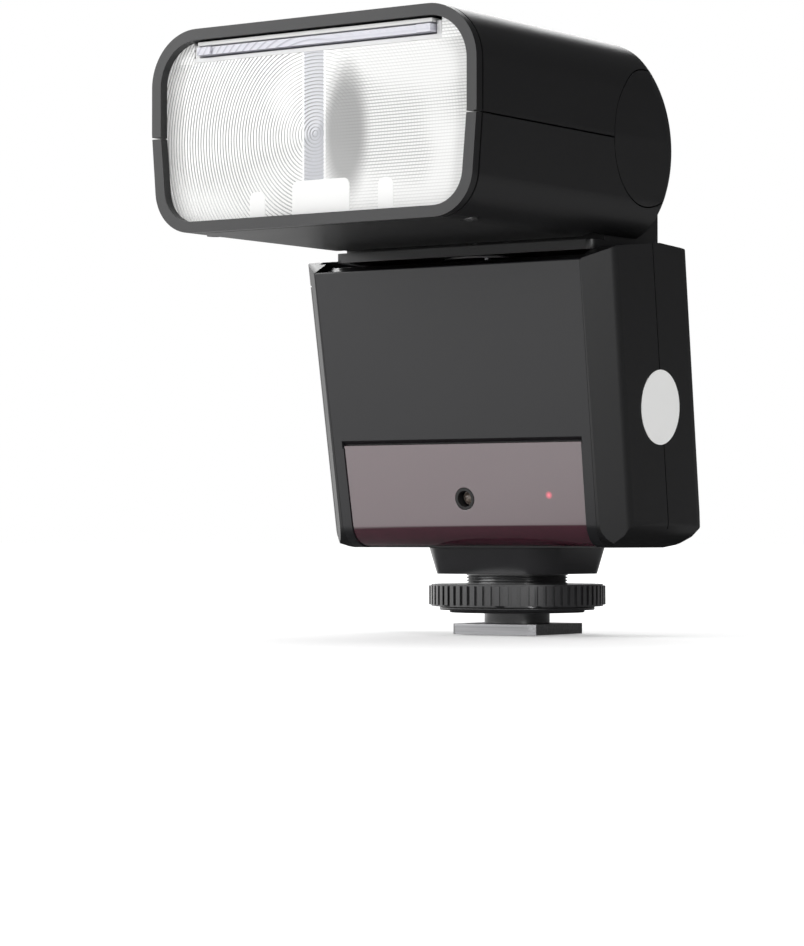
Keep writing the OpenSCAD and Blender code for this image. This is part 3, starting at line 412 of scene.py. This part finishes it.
def soften(piece, radius, segments=2, flat=True):
    """Joins a piece's doubled points, rounds its edges and smooths its shading."""
    weld = piece.modifiers.new("Join", "WELD")
    weld.merge_threshold = 0.000002
    if radius > 0:
        if flat:
            plain = piece.modifiers.new("Flat faces", "DECIMATE")
            plain.decimate_type = "DISSOLVE"
            plain.angle_limit = math.radians(0.5)
        bevel = piece.modifiers.new("Edges", "BEVEL")
        bevel.width = radius
        bevel.segments = segments
        bevel.limit_method = "ANGLE"
        bevel.angle_limit = math.radians(32)
        bevel.use_clamp_overlap = True
    shade = piece.modifiers.new("Shading", "NODES")
    shade.node_group = bpy.data.node_groups["Smooth by angle"]
    even = piece.modifiers.new("Even faces", "WEIGHTED_NORMAL")
    even.keep_sharp = True


def coat(node, finish):
    """Gives a CAD node its finish."""
    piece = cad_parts[node]
    if not piece.material_slots:
        raise RuntimeError(f"{node} has no material slot")
    for slot in piece.material_slots:
        slot.material = finish


def piece_from(name, mesh_build, body, finish, replaced):
    """A new piece from a bmesh, riding on a body in place of its CAD nodes."""
    mesh = bpy.data.meshes.new(name)
    shape = bmesh.new()
    mesh_build(shape)
    bmesh.ops.recalc_face_normals(shape, faces=shape.faces)
    shape.to_mesh(mesh)
    shape.free()
    piece = bpy.data.objects.new(name, mesh)
    bpy.context.scene.collection.objects.link(piece)
    mesh.materials.append(finish)
    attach(piece, body)
    if replaced:
        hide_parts(*replaced)
    return piece


def prism(shape, rim, front, back):
    """Adds a closed plate to a bmesh, from its outline in x and z and its two depths."""
    near = [shape.verts.new((x, front, z)) for x, z in rim]
    far = [shape.verts.new((x, back, z)) for x, z in rim]
    shape.faces.new(near)
    shape.faces.new(far[::-1])
    for i in range(len(rim)):
        j = (i + 1) % len(rim)
        shape.faces.new((near[j], near[i], far[i], far[j]))


# ---- Operators ----


class FLASH_OT_effects(Operator):
    """Builds the effects that the finishes share"""

    bl_idname = "flash.effects"
    bl_label = "Shared effects"

    def execute(self, context):
        EFFECTS["moulded"] = effect_moulded()
        EFFECTS["brushed"] = effect_brushed()
        EFFECTS["printed"] = effect_printed()
        EFFECTS["grooves"] = effect_grooves()
        soften_group()
        return {"FINISHED"}


class FLASH_OT_shells(Operator):
    """Finishes the moulded shells of the head, the yoke and the body"""

    bl_idname = "flash.shells"
    bl_label = "Shells"

    def execute(self, context):
        chosen = context.scene.flash_shell
        grained = {"Colour": rgba(chosen.black), "Roughness": 0.4, "Drift": 0.08, "Dust": 0.2}
        black, _, _ = material("moulded_black", "moulded", grained, bump=0.1, Specular_IOR_Level=chosen.shine)
        shells = (
            "front_cover",
            "rear_cover",
            "battery_door",
            "yoke",
            "yoke_back_cover",
            "head_upper_shell",
            "head_lower_shell",
            "side_caps",
        )
        for node in shells:
            coat(node, black)
            soften(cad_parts[node], chosen.edge)
        smooth = {"Colour": rgba(chosen.plate), "Roughness": 0.3, "Drift": 0.05, "Dust": 0.4}
        plate, _, _ = material("smooth_plate", "moulded", smooth, bump=0.03, Specular_IOR_Level=0.42)
        coat("front_plate", plate)
        soften(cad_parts["front_plate"], chosen.fine_edge)
        return {"FINISHED"}


class FLASH_OT_foot(Operator):
    """Finishes the foot, the lock ring and the shoe plate with its contacts"""

    bl_idname = "flash.foot"
    bl_label = "Foot"

    def execute(self, context):
        chosen = context.scene.flash_shell
        worn = {"Colour": rgba(chosen.foot), "Roughness": 0.22, "Drift": 0.12, "Dust": 0.15}
        foot, _, _ = material("foot_black", "moulded", worn, bump=0.08, Specular_IOR_Level=0.9)
        for node in ("foot_block", "lock_ring", "clamp_plate", "thread_column"):
            coat(node, foot)
            soften(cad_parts[node], chosen.fine_edge)
        steel = rgba(context.scene.flash_inner.steel)
        plate, _, _ = material("shoe_steel", "brushed", {"Colour": steel, "Roughness": 0.28}, bump=0.1, Metallic=1.0)
        coat("shoe_plate", plate)
        soften(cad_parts["shoe_plate"], chosen.fine_edge)
        gold, _, _ = material(
            "gold_plate", "brushed", {"Colour": (0.85, 0.6, 0.25, 1), "Roughness": 0.18}, bump=0.03, Metallic=1.0
        )
        for node in ("contact_pins", "battery_contacts"):
            coat(node, gold)
            soften(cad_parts[node], 0.05 * MM)
        return {"FINISHED"}


class FLASH_OT_window(Operator):
    """Finishes the red window, the sensor and the lamp behind it, and the blank sticker"""

    bl_idname = "flash.window"
    bl_label = "Window and sticker"

    def execute(self, context):
        chosen = context.scene.flash_window
        stained = {"Colour": rgba(chosen.red), "Roughness": 0.09, "Drift": 0.03, "Dust": 0.6}
        red, n, surface = material(
            "red_window", "moulded", stained, Specular_IOR_Level=1.0,
            Coat_Weight=1.0, Coat_IOR=1.88, Coat_Roughness=0.04, Transmission_Weight=chosen.depth, IOR=1.49
        )
        # Painted light: the red lamp's glow is painted onto the window as emission.
        self.spot(n, surface, 0.9)
        coat("sensor_window", red)
        soften(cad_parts["sensor_window"], 0.08 * MM)
        inner = {"Colour": (0.006, 0.006, 0.006, 1), "Roughness": 0.55, "Dust": 0.0}
        dark, _, _ = material("dark_inside", "moulded", inner, bump=0.05)
        for node in ("sensor_tube", "battery_tray", "zoom_carriage"):
            coat(node, dark)
            soften(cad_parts[node], 0.05 * MM)
        bead, _, _ = material(
            "sensor_bead", "moulded", {"Colour": (0.5, 0.42, 0.36, 1), "Roughness": 0.05, "Dust": 0.0},
            Transmission_Weight=0.6, IOR=1.5,
        )
        coat("photo_sensor", bead)
        soften(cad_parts["photo_sensor"], 0.0)
        self.lamp(chosen.glow)
        film = {"Colour": rgba(chosen.sticker), "Roughness": 0.42, "Drift": 0.06, "Dust": 0.0}
        paper, _, _ = material("sticker_film", "moulded", film, bump=0.02, Specular_IOR_Level=0.4)
        coat("quality_sticker", paper)
        soften(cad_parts["quality_sticker"], 0.03 * MM)
        return {"FINISHED"}

    def lamp(self, glow):
        lens, n, surface = material(
            "red_lamp", "moulded", {"Colour": (0.45, 0.02, 0.02, 1), "Roughness": 0.12, "Dust": 0.0}, IOR=1.5
        )
        self.spot(n, surface, glow)
        coat("focus_lamp", lens)
        soften(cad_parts["focus_lamp"], 0.0)

    def spot(self, n, surface, strength):
        """A small red glow round the lamp's place: on the lamp it is the lamp's own light, on the red window it is
        painted light from the lamp behind.
        """
        low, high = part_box("focus_lamp")
        place = n.add("ShaderNodeSeparateXYZ", {0: n.add("ShaderNodeTexCoord").outputs["Object"]})
        across = n.math("SUBTRACT", place.outputs[0], (low[0] + high[0]) / 2)
        upward = n.math("SUBTRACT", place.outputs[2], (low[2] + high[2]) / 2)
        away = n.math("SQRT", n.math("ADD", n.math("POWER", across, 2.0), n.math("POWER", upward, 2.0)))
        stops = [(0.0, (1, 0.12, 0.2, 1)), (0.25, (0.7, 0.05, 0.09, 1)), (0.6, (0, 0, 0, 1))]
        n.link(n.ramp(n.math("DIVIDE", away, 0.0013), stops), surface.inputs["Emission Color"])
        surface.inputs["Emission Strength"].default_value = strength


class FLASH_OT_lamp(Operator):
    """Finishes the bright trough, the flash tube and its rubber boots"""

    bl_idname = "flash.lamp"
    bl_label = "Lamp"

    def execute(self, context):
        mirror, _, _ = material(
            "mirror", "brushed", {"Colour": (0.93, 0.93, 0.95, 1), "Roughness": 0.1}, bump=0.01, Metallic=1.0
        )
        coat("reflector", mirror)
        soften(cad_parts["reflector"], 0.0)
        glass, _, _ = material(
            "tube_glass", "moulded", {"Colour": (0.97, 0.98, 0.93, 1), "Roughness": 0.04, "Dust": 0.0},
            Transmission_Weight=0.9, IOR=1.46,
        )
        coat("flash_tube", glass)
        soften(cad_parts["flash_tube"], 0.0)
        rubber, _, _ = material(
            "white_rubber", "moulded", {"Colour": (0.75, 0.75, 0.72, 1), "Roughness": 0.55, "Dust": 0.1}, bump=0.1
        )
        coat("tube_boots", rubber)
        soften(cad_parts["tube_boots"], 0.05 * MM)
        return {"FINISHED"}


class FLASH_OT_lens(Operator):
    """Makes the grooved front lens with its upper corners and its clips"""

    bl_idname = "flash.lens"
    bl_label = "Front lens"

    def execute(self, context):
        chosen = context.scene.flash_lens
        low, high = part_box("front_lens")
        centre = Vector(((low[0] + high[0]) / 2, low[1], (low[2] + high[2]) / 2))
        # The band, the patch and the groove lines set here are painted shade.
        marks = {
            "Centre X": centre.x,
            "Centre Z": centre.z,
            "Pitch": chosen.pitch,
            "Band X": -0.0003,
            "Band width": chosen.painted_band,
            "Patch X": 0.0064,
            "Patch": 0.7,
        }
        clear, n, surface = material(
            "lens_clear", "grooves", marks, bump=0.3, bump_distance=0.00004, Transmission_Weight=0.12, IOR=1.49
        )
        # Painted glow: the lens gives out its painted colour as emission, though it is no lamp.
        glow = n.tree.nodes["Group"].outputs["Colour"]
        n.link(glow, surface.inputs["Emission Color"])
        surface.inputs["Emission Strength"].default_value = chosen.glow
        outline = self.outline()
        piece_from(
            "grooved_lens", lambda shape: self.build(shape, outline, centre, high[1], chosen), "head",
            clear, ["front_lens"],
        )
        soften(bpy.data.objects["grooved_lens"], 0.0)
        self.backing(chosen, centre, high[1], low[2])
        self.corners(clear, centre, high)
        return {"FINISHED"}

    def outline(self):
        """The CAD lens's outline as the distance from its centre in any direction."""
        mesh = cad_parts["front_lens"].data
        points = [(v.co.x, v.co.z) for v in mesh.vertices]
        low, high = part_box("front_lens")
        middle = ((low[0] + high[0]) / 2, (low[2] + high[2]) / 2)
        flat = bmesh.new()
        rim = bmesh.ops.convex_hull(flat, input=[flat.verts.new((x, 0, z)) for x, z in points])["geom"]
        rim = [e.co for e in rim if isinstance(e, bmesh.types.BMVert)]
        rim = sorted(((math.atan2(c.z - middle[1], c.x - middle[0]), c.x - middle[0], c.z - middle[1]) for c in rim))
        rim = [(x, z) for _, x, z in rim]
        flat.free()
        return rim

    def reach(self, outline, angle):
        """How far the outline lies from the centre at an angle."""
        across, upward = math.cos(angle), math.sin(angle)
        for (x0, z0), (x1, z1) in zip(outline, outline[1:] + outline[:1]):
            cross = across * (z1 - z0) - upward * (x1 - x0)
            if abs(cross) < 1e-12:
                continue
            far = (x0 * (z1 - z0) - z0 * (x1 - x0)) / cross
            along = (x0 * upward - z0 * across) / cross
            if far > 0 and -1e-9 <= along <= 1 + 1e-9:
                return far
        raise RuntimeError("the lens outline is open")

    def build(self, shape, outline, centre, back, chosen):
        rims = sorted(
            {2 * math.pi * i / chosen.turns for i in range(chosen.turns)}
            | {math.atan2(z, x) % (2 * math.pi) for x, z in outline}
        )
        reach = [self.reach(outline, angle) for angle in rims]
        steps = [(0.0, 0.0)]
        for i in range(int(max(reach) / chosen.pitch) + 1):
            steps += [((i + 0.06) * chosen.pitch, 0.0), ((i + 0.94) * chosen.pitch, chosen.depth)]
        rings = []
        for radius, sunk in steps[1:]:
            ring = []
            for angle, far in zip(rims, reach):
                r = min(radius, far)
                sink = sunk if radius < far else 0.0
                ring.append(
                    shape.verts.new((centre.x + r * math.cos(angle), centre.y + sink, centre.z + r * math.sin(angle)))
                )
            rings.append(ring)
        edge = [
            shape.verts.new((centre.x + far * math.cos(angle), back, centre.z + far * math.sin(angle)))
            for angle, far in zip(rims, reach)
        ]
        rings.append(edge)
        middle = shape.verts.new(centre)
        rear = shape.verts.new((centre.x, back, centre.z))
        count = len(rims)
        for i in range(count):
            j = (i + 1) % count
            shape.faces.new((middle, rings[0][i], rings[0][j]))
            shape.faces.new((rear, edge[j], edge[i]))
            for inner, outer in zip(rings, rings[1:]):
                shape.faces.new((inner[i], outer[i], outer[j], inner[j]))
        bmesh.ops.remove_doubles(shape, verts=shape.verts, dist=0.000001)
        bmesh.ops.dissolve_degenerate(shape, edges=shape.edges, dist=0.000001)

    def corners(self, finish, centre, high):
        """Fills the opening's upper corners beyond the ends of the panel."""
        inner, radius, rise = 26.75 * MM, 8.3 * MM, 3.77 * MM
        middle = (high[0] - radius, high[2] + rise - radius)

        def build(shape):
            start = math.asin((high[2] - middle[1]) / radius)
            end = math.acos((inner - middle[0]) / radius)
            points = [(inner, high[2])]
            for i in range(13):
                turn = start + (end - start) * i / 12
                points.append((middle[0] + radius * math.cos(turn), middle[1] + radius * math.sin(turn)))
            for side in (1, -1):
                prism(shape, [(centre.x + side * x, z) for x, z in points], centre.y, high[1])

        soften(piece_from("lens_corners", build, "head", finish, []), 0.0)

    def backing(self, chosen, centre, back, low):
        """The white clips that hold the lens's lower edge."""
        white, _, _ = material(
            "white_clip", "moulded", {"Colour": (0.97, 0.97, 0.96, 1), "Roughness": 0.4, "Dust": 0.0}, bump=0.02
        )
        for name, across, half, tall in (
            ("lens_clip_middle", 1.2 * MM, chosen.clip / 2, 6.0 * MM),
            ("lens_clip_left", -12.6 * MM, 1.7 * MM, 4.6 * MM),
            ("lens_clip_right", 15.0 * MM, 1.6 * MM, 5.6 * MM),
        ):
            start = (centre.x + across - half, centre.y - 0.03 * MM, low + 0.4 * MM)
            end = (centre.x + across + half, back + 0.45 * MM, low + 0.4 * MM + tall)
            self.block(name, start, end, min(half, 1.4 * MM) * 0.9, white, "card_white")

    def block(self, name, start, end, corner, finish, slot):
        """A plate whose upper corners are rounded."""

        def build(shape):
            x0, y0, z0 = start
            x1, y1, z1 = end
            points = [(x0, z0), (x1, z0)]
            for i in range(7):
                turn = math.radians(15 * i)
                points.append((x1 - corner + corner * math.cos(turn), z1 - corner + corner * math.sin(turn)))
            for i in range(7):
                turn = math.radians(90 + 15 * i)
                points.append((x0 + corner + corner * math.cos(turn), z1 - corner + corner * math.sin(turn)))
            prism(shape, points, y0, y1)

        soften(piece_from(name, build, "head", finish, []), 0.08 * MM)


class FLASH_OT_panels(Operator):
    """Finishes the pull-out wide panel, the bounce card and the shelf between them and the lens"""

    bl_idname = "flash.panels"
    bl_label = "Panel and card"

    def execute(self, context):
        # The panel's groove lines are painted shade, as on the lens.
        clear, _, _ = material(
            "panel_clear",
            "grooves",
            {"Colour": (0.8, 0.8, 0.88, 1), "Painted groove shade": (0.55, 0.55, 0.63, 1), "Pitch": 0.0011},
            bump=0.2,
            Transmission_Weight=0.2,
            IOR=1.49,
        )
        milky, _, _ = material(
            "milky_shelf", "moulded", {"Colour": (0.9, 0.9, 0.9, 1), "Roughness": 0.25, "Dust": 0.0},
            Transmission_Weight=0.1, IOR=1.49,
        )
        card, _, _ = material(
            "white_card", "moulded", {"Colour": (0.9, 0.9, 0.89, 1), "Roughness": 0.6, "Dust": 0.05}, bump=0.03
        )
        for node, finish in (("wide_panel", clear), ("card_shelf", milky), ("bounce_card", card)):
            coat(node, finish)
            soften(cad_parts[node], 0.1 * MM)
        return {"FINISHED"}


class FLASH_OT_rear(Operator):
    """Finishes the display, the buttons, the switch and the dial"""

    bl_idname = "flash.rear"
    bl_label = "Rear controls"

    def execute(self, context):
        chosen = context.scene.flash_rear
        panel, _, _ = material(
            "display_panel", "moulded", {"Colour": rgba(chosen.display), "Roughness": 0.35,
            "Drift": 0.0, "Dust": 0.0},
            Specular_IOR_Level=0.4,
        )
        coat("display_module", panel)
        soften(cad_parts["display_module"], 0.05 * MM)
        smoked, _, _ = material(
            "smoked_window", "moulded", {"Colour": (0.3, 0.31, 0.33, 1), "Roughness": 0.05,
            "Drift": 0.0, "Dust": 0.3},
            Transmission_Weight=0.85, IOR=1.49,
        )
        coat("display_window", smoked)
        soften(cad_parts["display_window"], 0.1 * MM)
        soft, _, _ = material(
            "button_rubber", "moulded", {"Colour": rgba(chosen.button), "Roughness": 0.55, "Dust": 0.15}, bump=0.15,
            Specular_IOR_Level=0.35,
        )
        for node in ("mode_button", "wireless_button", "power_switch", "select_dial", "set_button"):
            coat(node, soft)
            soften(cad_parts[node], 0.15 * MM)
        amber, _, _ = material(
            "amber_button", "moulded", {"Colour": rgba(chosen.amber), "Roughness": 0.2, "Dust": 0.0},
            Transmission_Weight=0.35, IOR=1.49,
        )
        coat("test_button", amber)
        soften(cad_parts["test_button"], 0.15 * MM)
        return {"FINISHED"}


class FLASH_OT_inner(Operator):
    """Finishes the screws, shafts, cells, board and coils"""

    bl_idname = "flash.inner"
    bl_label = "Inner pieces"

    def execute(self, context):
        chosen = context.scene.flash_inner
        steel, _, _ = material(
            "bright_steel", "brushed", {"Colour": rgba(chosen.steel), "Roughness": 0.22}, bump=0.05, Metallic=1.0
        )
        blackened, _, _ = material(
            "black_screw", "brushed", {"Colour": (0.06, 0.06, 0.062, 1), "Roughness": 0.3}, bump=0.05, Metallic=0.8
        )
        sleeve, _, _ = material(
            "cell_sleeve",
            "printed",
            {"Colour": rgba(chosen.cell), "Height of change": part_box("aa_cells")[0][2] + 0.032},
            Metallic=0.5,
        )
        board, _, _ = material(
            "board", "brushed", {"Colour": rgba(chosen.board), "Roughness": 0.25}, bump=0.05, Coat_Weight=0.5
        )
        tape, _, _ = material(
            "yellow_tape", "moulded", {"Colour": (0.62, 0.42, 0.05, 1), "Roughness": 0.35, "Dust": 0.0}, bump=0.1
        )
        shrink, _, _ = material(
            "shrink_sleeve", "moulded", {"Colour": (0.012, 0.013, 0.05, 1), "Roughness": 0.3, "Dust": 0.0}, bump=0.1
        )
        wire, _, _ = material(
            "lacquered_wire", "brushed", {"Colour": (0.5, 0.16, 0.05, 1), "Roughness": 0.25}, bump=0.2, Metallic=0.7
        )
        finishes = {
            steel: (
                "post_screws", "foot_screws", "post_clip", "lock_pin", "guide_rails", "detent_plunger", "zoom_screw",
                "tilt_pins", "door_hinge_pin", "usb_socket", "zoom_motor",
            ),
            blackened: ("body_screws", "yoke_screws", "head_screws", "swivel_post"),
            sleeve: ("aa_cells",),
            board: ("main_board",),
            tape: ("step_up_transformer",),
            shrink: ("flash_capacitor",),
            wire: ("trigger_coil",),
        }
        for finish, nodes in finishes.items():
            for node in nodes:
                coat(node, finish)
                soften(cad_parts[node], 0.05 * MM)
        return {"FINISHED"}


class FLASH_OT_stage(Operator):
    """Sets the camera, the lamps, the floor and the backdrop"""

    bl_idname = "flash.stage"
    bl_label = "Stage"

    def execute(self, context):
        chosen = context.scene.flash_stage
        scene = context.scene
        scene.view_settings.view_transform = "Standard"
        self.camera(scene, chosen)
        self.floor(scene, chosen)
        self.world(scene, chosen)
        lamps = (
            ("Key", (-0.62, -0.62, 0.42), (0.6, 0.6), chosen.key),
            ("Top", (-0.05, 0.05, 0.9), (0.7, 0.7), chosen.top),
            ("Strip", (0.5, -0.34, 0.26), (0.1, 0.34), chosen.strip),
            ("Back", (-0.45, 0.6, 0.45), (0.5, 0.3), chosen.back),
        )
        for name, place, size, power in lamps:
            self.lamp(scene, name, Vector(place), size, power)
        return {"FINISHED"}

    def camera(self, scene, chosen):
        lens = bpy.data.cameras.new("Camera")
        lens.lens = chosen.lens
        lens.sensor_width = 36
        lens.clip_start = 0.01
        camera = bpy.data.objects.new("Camera", lens)
        camera.location = chosen.place
        camera.rotation_euler = (math.pi / 2 + chosen.rise, 0, chosen.turn)
        scene.collection.objects.link(camera)
        scene.camera = camera

    def floor(self, scene, chosen):
        made = bpy.data.materials.new("paper")
        made.use_nodes = True
        made.node_tree.nodes.clear()
        n = Nodes(made.node_tree)
        ray = n.add("ShaderNodeLightPath").outputs
        place = n.add("ShaderNodeTexCoord").outputs["Object"]
        away = n.add("ShaderNodeVectorMath", {0: place}, operation="LENGTH").outputs["Value"]
        right_rear = (0.57, 0.82, 0.0)
        side = n.add("ShaderNodeVectorMath", {0: place, 1: right_rear}, operation="DOT_PRODUCT").outputs["Value"]
        ahead = n.add(
            "ShaderNodeMapRange", {0: side, 1: -0.03, 2: 0.05, 3: 1.0, 4: chosen.mirrored}
        ).outputs[0]
        far = n.add("ShaderNodeMapRange", {0: away, 1: 0.062, 2: 0.082, 3: 0.1, 4: 1.0}).outputs[0]
        gloss = n.math("MULTIPLY", ahead, far)
        seen = n.math("MAXIMUM", ray["Is Camera Ray"], ray["Is Transmission Ray"])
        seen = n.math("MAXIMUM", seen, n.math("MULTIPLY", ray["Is Glossy Ray"], gloss))
        spread = n.add("ShaderNodeMapRange", {0: away, 1: 0.1, 2: 0.7, 3: 0.35, 4: 1.0}).outputs[0]
        dim = n.math("MULTIPLY", ray["Is Glossy Ray"], n.math("SUBTRACT", 1.0, gloss))
        tone = n.add("ShaderNodeMix", {0: dim, 6: rgba(chosen.paper), 7: (0, 0, 0, 1)}, data_type="RGBA").outputs[2]
        lit = n.add("ShaderNodeBsdfDiffuse", {"Color": tone}).outputs[0]
        glow = n.add("ShaderNodeEmission", {"Color": (1, 1, 1, 1), "Strength": n.math("MULTIPLY", seen, spread)})
        both = n.add("ShaderNodeAddShader", {0: lit, 1: glow.outputs[0]}).outputs[0]
        under = n.add("ShaderNodeNewGeometry").outputs["Backfacing"]
        clear = n.add("ShaderNodeBsdfTransparent").outputs[0]
        both = n.add("ShaderNodeMixShader", {0: under, 1: both, 2: clear}).outputs[0]
        n.link(both, n.add("ShaderNodeOutputMaterial").inputs[0])
        mesh = bpy.data.meshes.new("Floor")
        shape = bmesh.new()
        bmesh.ops.create_grid(shape, x_segments=1, y_segments=1, size=6)
        shape.to_mesh(mesh)
        shape.free()
        mesh.materials.append(made)
        floor = bpy.data.objects.new("Floor", mesh)
        floor.location = (0, 0, -0.0002)
        scene.collection.objects.link(floor)

    def world(self, scene, chosen):
        """White where it is seen, soft grey as light, and darker in reflections from the right rear."""
        scene.world = scene.world or bpy.data.worlds.new("World")
        scene.world.use_nodes = True
        scene.world.node_tree.nodes.clear()
        n = Nodes(scene.world.node_tree)
        ray = n.add("ShaderNodeLightPath").outputs
        plain = n.math("MAXIMUM", ray["Is Camera Ray"], ray["Is Transmission Ray"])
        way = n.add("ShaderNodeTexCoord").outputs["Generated"]
        right_rear = (0.64, 0.77, 0.0)
        turned = n.add("ShaderNodeVectorMath", {0: way, 1: right_rear}, operation="DOT_PRODUCT").outputs["Value"]
        mirrored = n.add(
            "ShaderNodeMapRange", {0: turned, 1: 0.0, 2: 0.6, 3: 1.0, 4: chosen.shade},
            interpolation_type="SMOOTHSTEP"
        ).outputs[0]
        glossy = n.math("MULTIPLY", ray["Is Glossy Ray"], mirrored)
        rest = n.math("SUBTRACT", 1.0, n.math("MAXIMUM", plain, ray["Is Glossy Ray"]))
        strength = n.math("ADD", n.math("MAXIMUM", plain, glossy), n.math("MULTIPLY", rest, chosen.fill))
        sky = n.add("ShaderNodeBackground", {"Color": (1, 1, 1, 1), "Strength": strength})
        n.link(sky.outputs[0], n.add("ShaderNodeOutputWorld").inputs[0])

    def lamp(self, scene, name, place, size, power):
        light = bpy.data.lights.new(name, "AREA")
        light.shape = "RECTANGLE"
        light.size, light.size_y = size
        light.energy = power
        lamp = bpy.data.objects.new(name, light)
        lamp.location = place
        lamp.rotation_euler = (Vector((0, 0, 0.06)) - place).to_track_quat("-Z", "Y").to_euler()
        scene.collection.objects.link(lamp)


class FLASH_PT_panel(Panel):
    """Lists the steps that dress the flash"""

    bl_idname = "FLASH_PT_panel"
    bl_label = "Speedlight flash"
    bl_space_type = "VIEW_3D"
    bl_region_type = "UI"
    bl_category = "Flash"

    def draw(self, context):
        for step in STEPS:
            self.layout.operator(step.bl_idname)
        for name, group in SETTINGS.items():
            box = self.layout.box()
            for field in group.__annotations__:
                box.prop(getattr(context.scene, name), field)


STEPS = (
    FLASH_OT_effects,
    FLASH_OT_shells,
    FLASH_OT_foot,
    FLASH_OT_window,
    FLASH_OT_lamp,
    FLASH_OT_lens,
    FLASH_OT_panels,
    FLASH_OT_rear,
    FLASH_OT_inner,
    FLASH_OT_stage,
)


def register():
    for group in (*SETTINGS.values(), *STEPS, FLASH_PT_panel):
        bpy.utils.register_class(group)
    for name, group in SETTINGS.items():
        setattr(bpy.types.Scene, name, PointerProperty(type=group))


def unregister():
    for name in SETTINGS:
        delattr(bpy.types.Scene, name)
    for group in (FLASH_PT_panel, *reversed(STEPS), *SETTINGS.values()):
        bpy.utils.unregister_class(group)


def main():
    register()
    for step in STEPS:
        family, name = step.bl_idname.split(".")
        getattr(getattr(bpy.ops, family), name)()


if __name__ == "__main__":
    main()
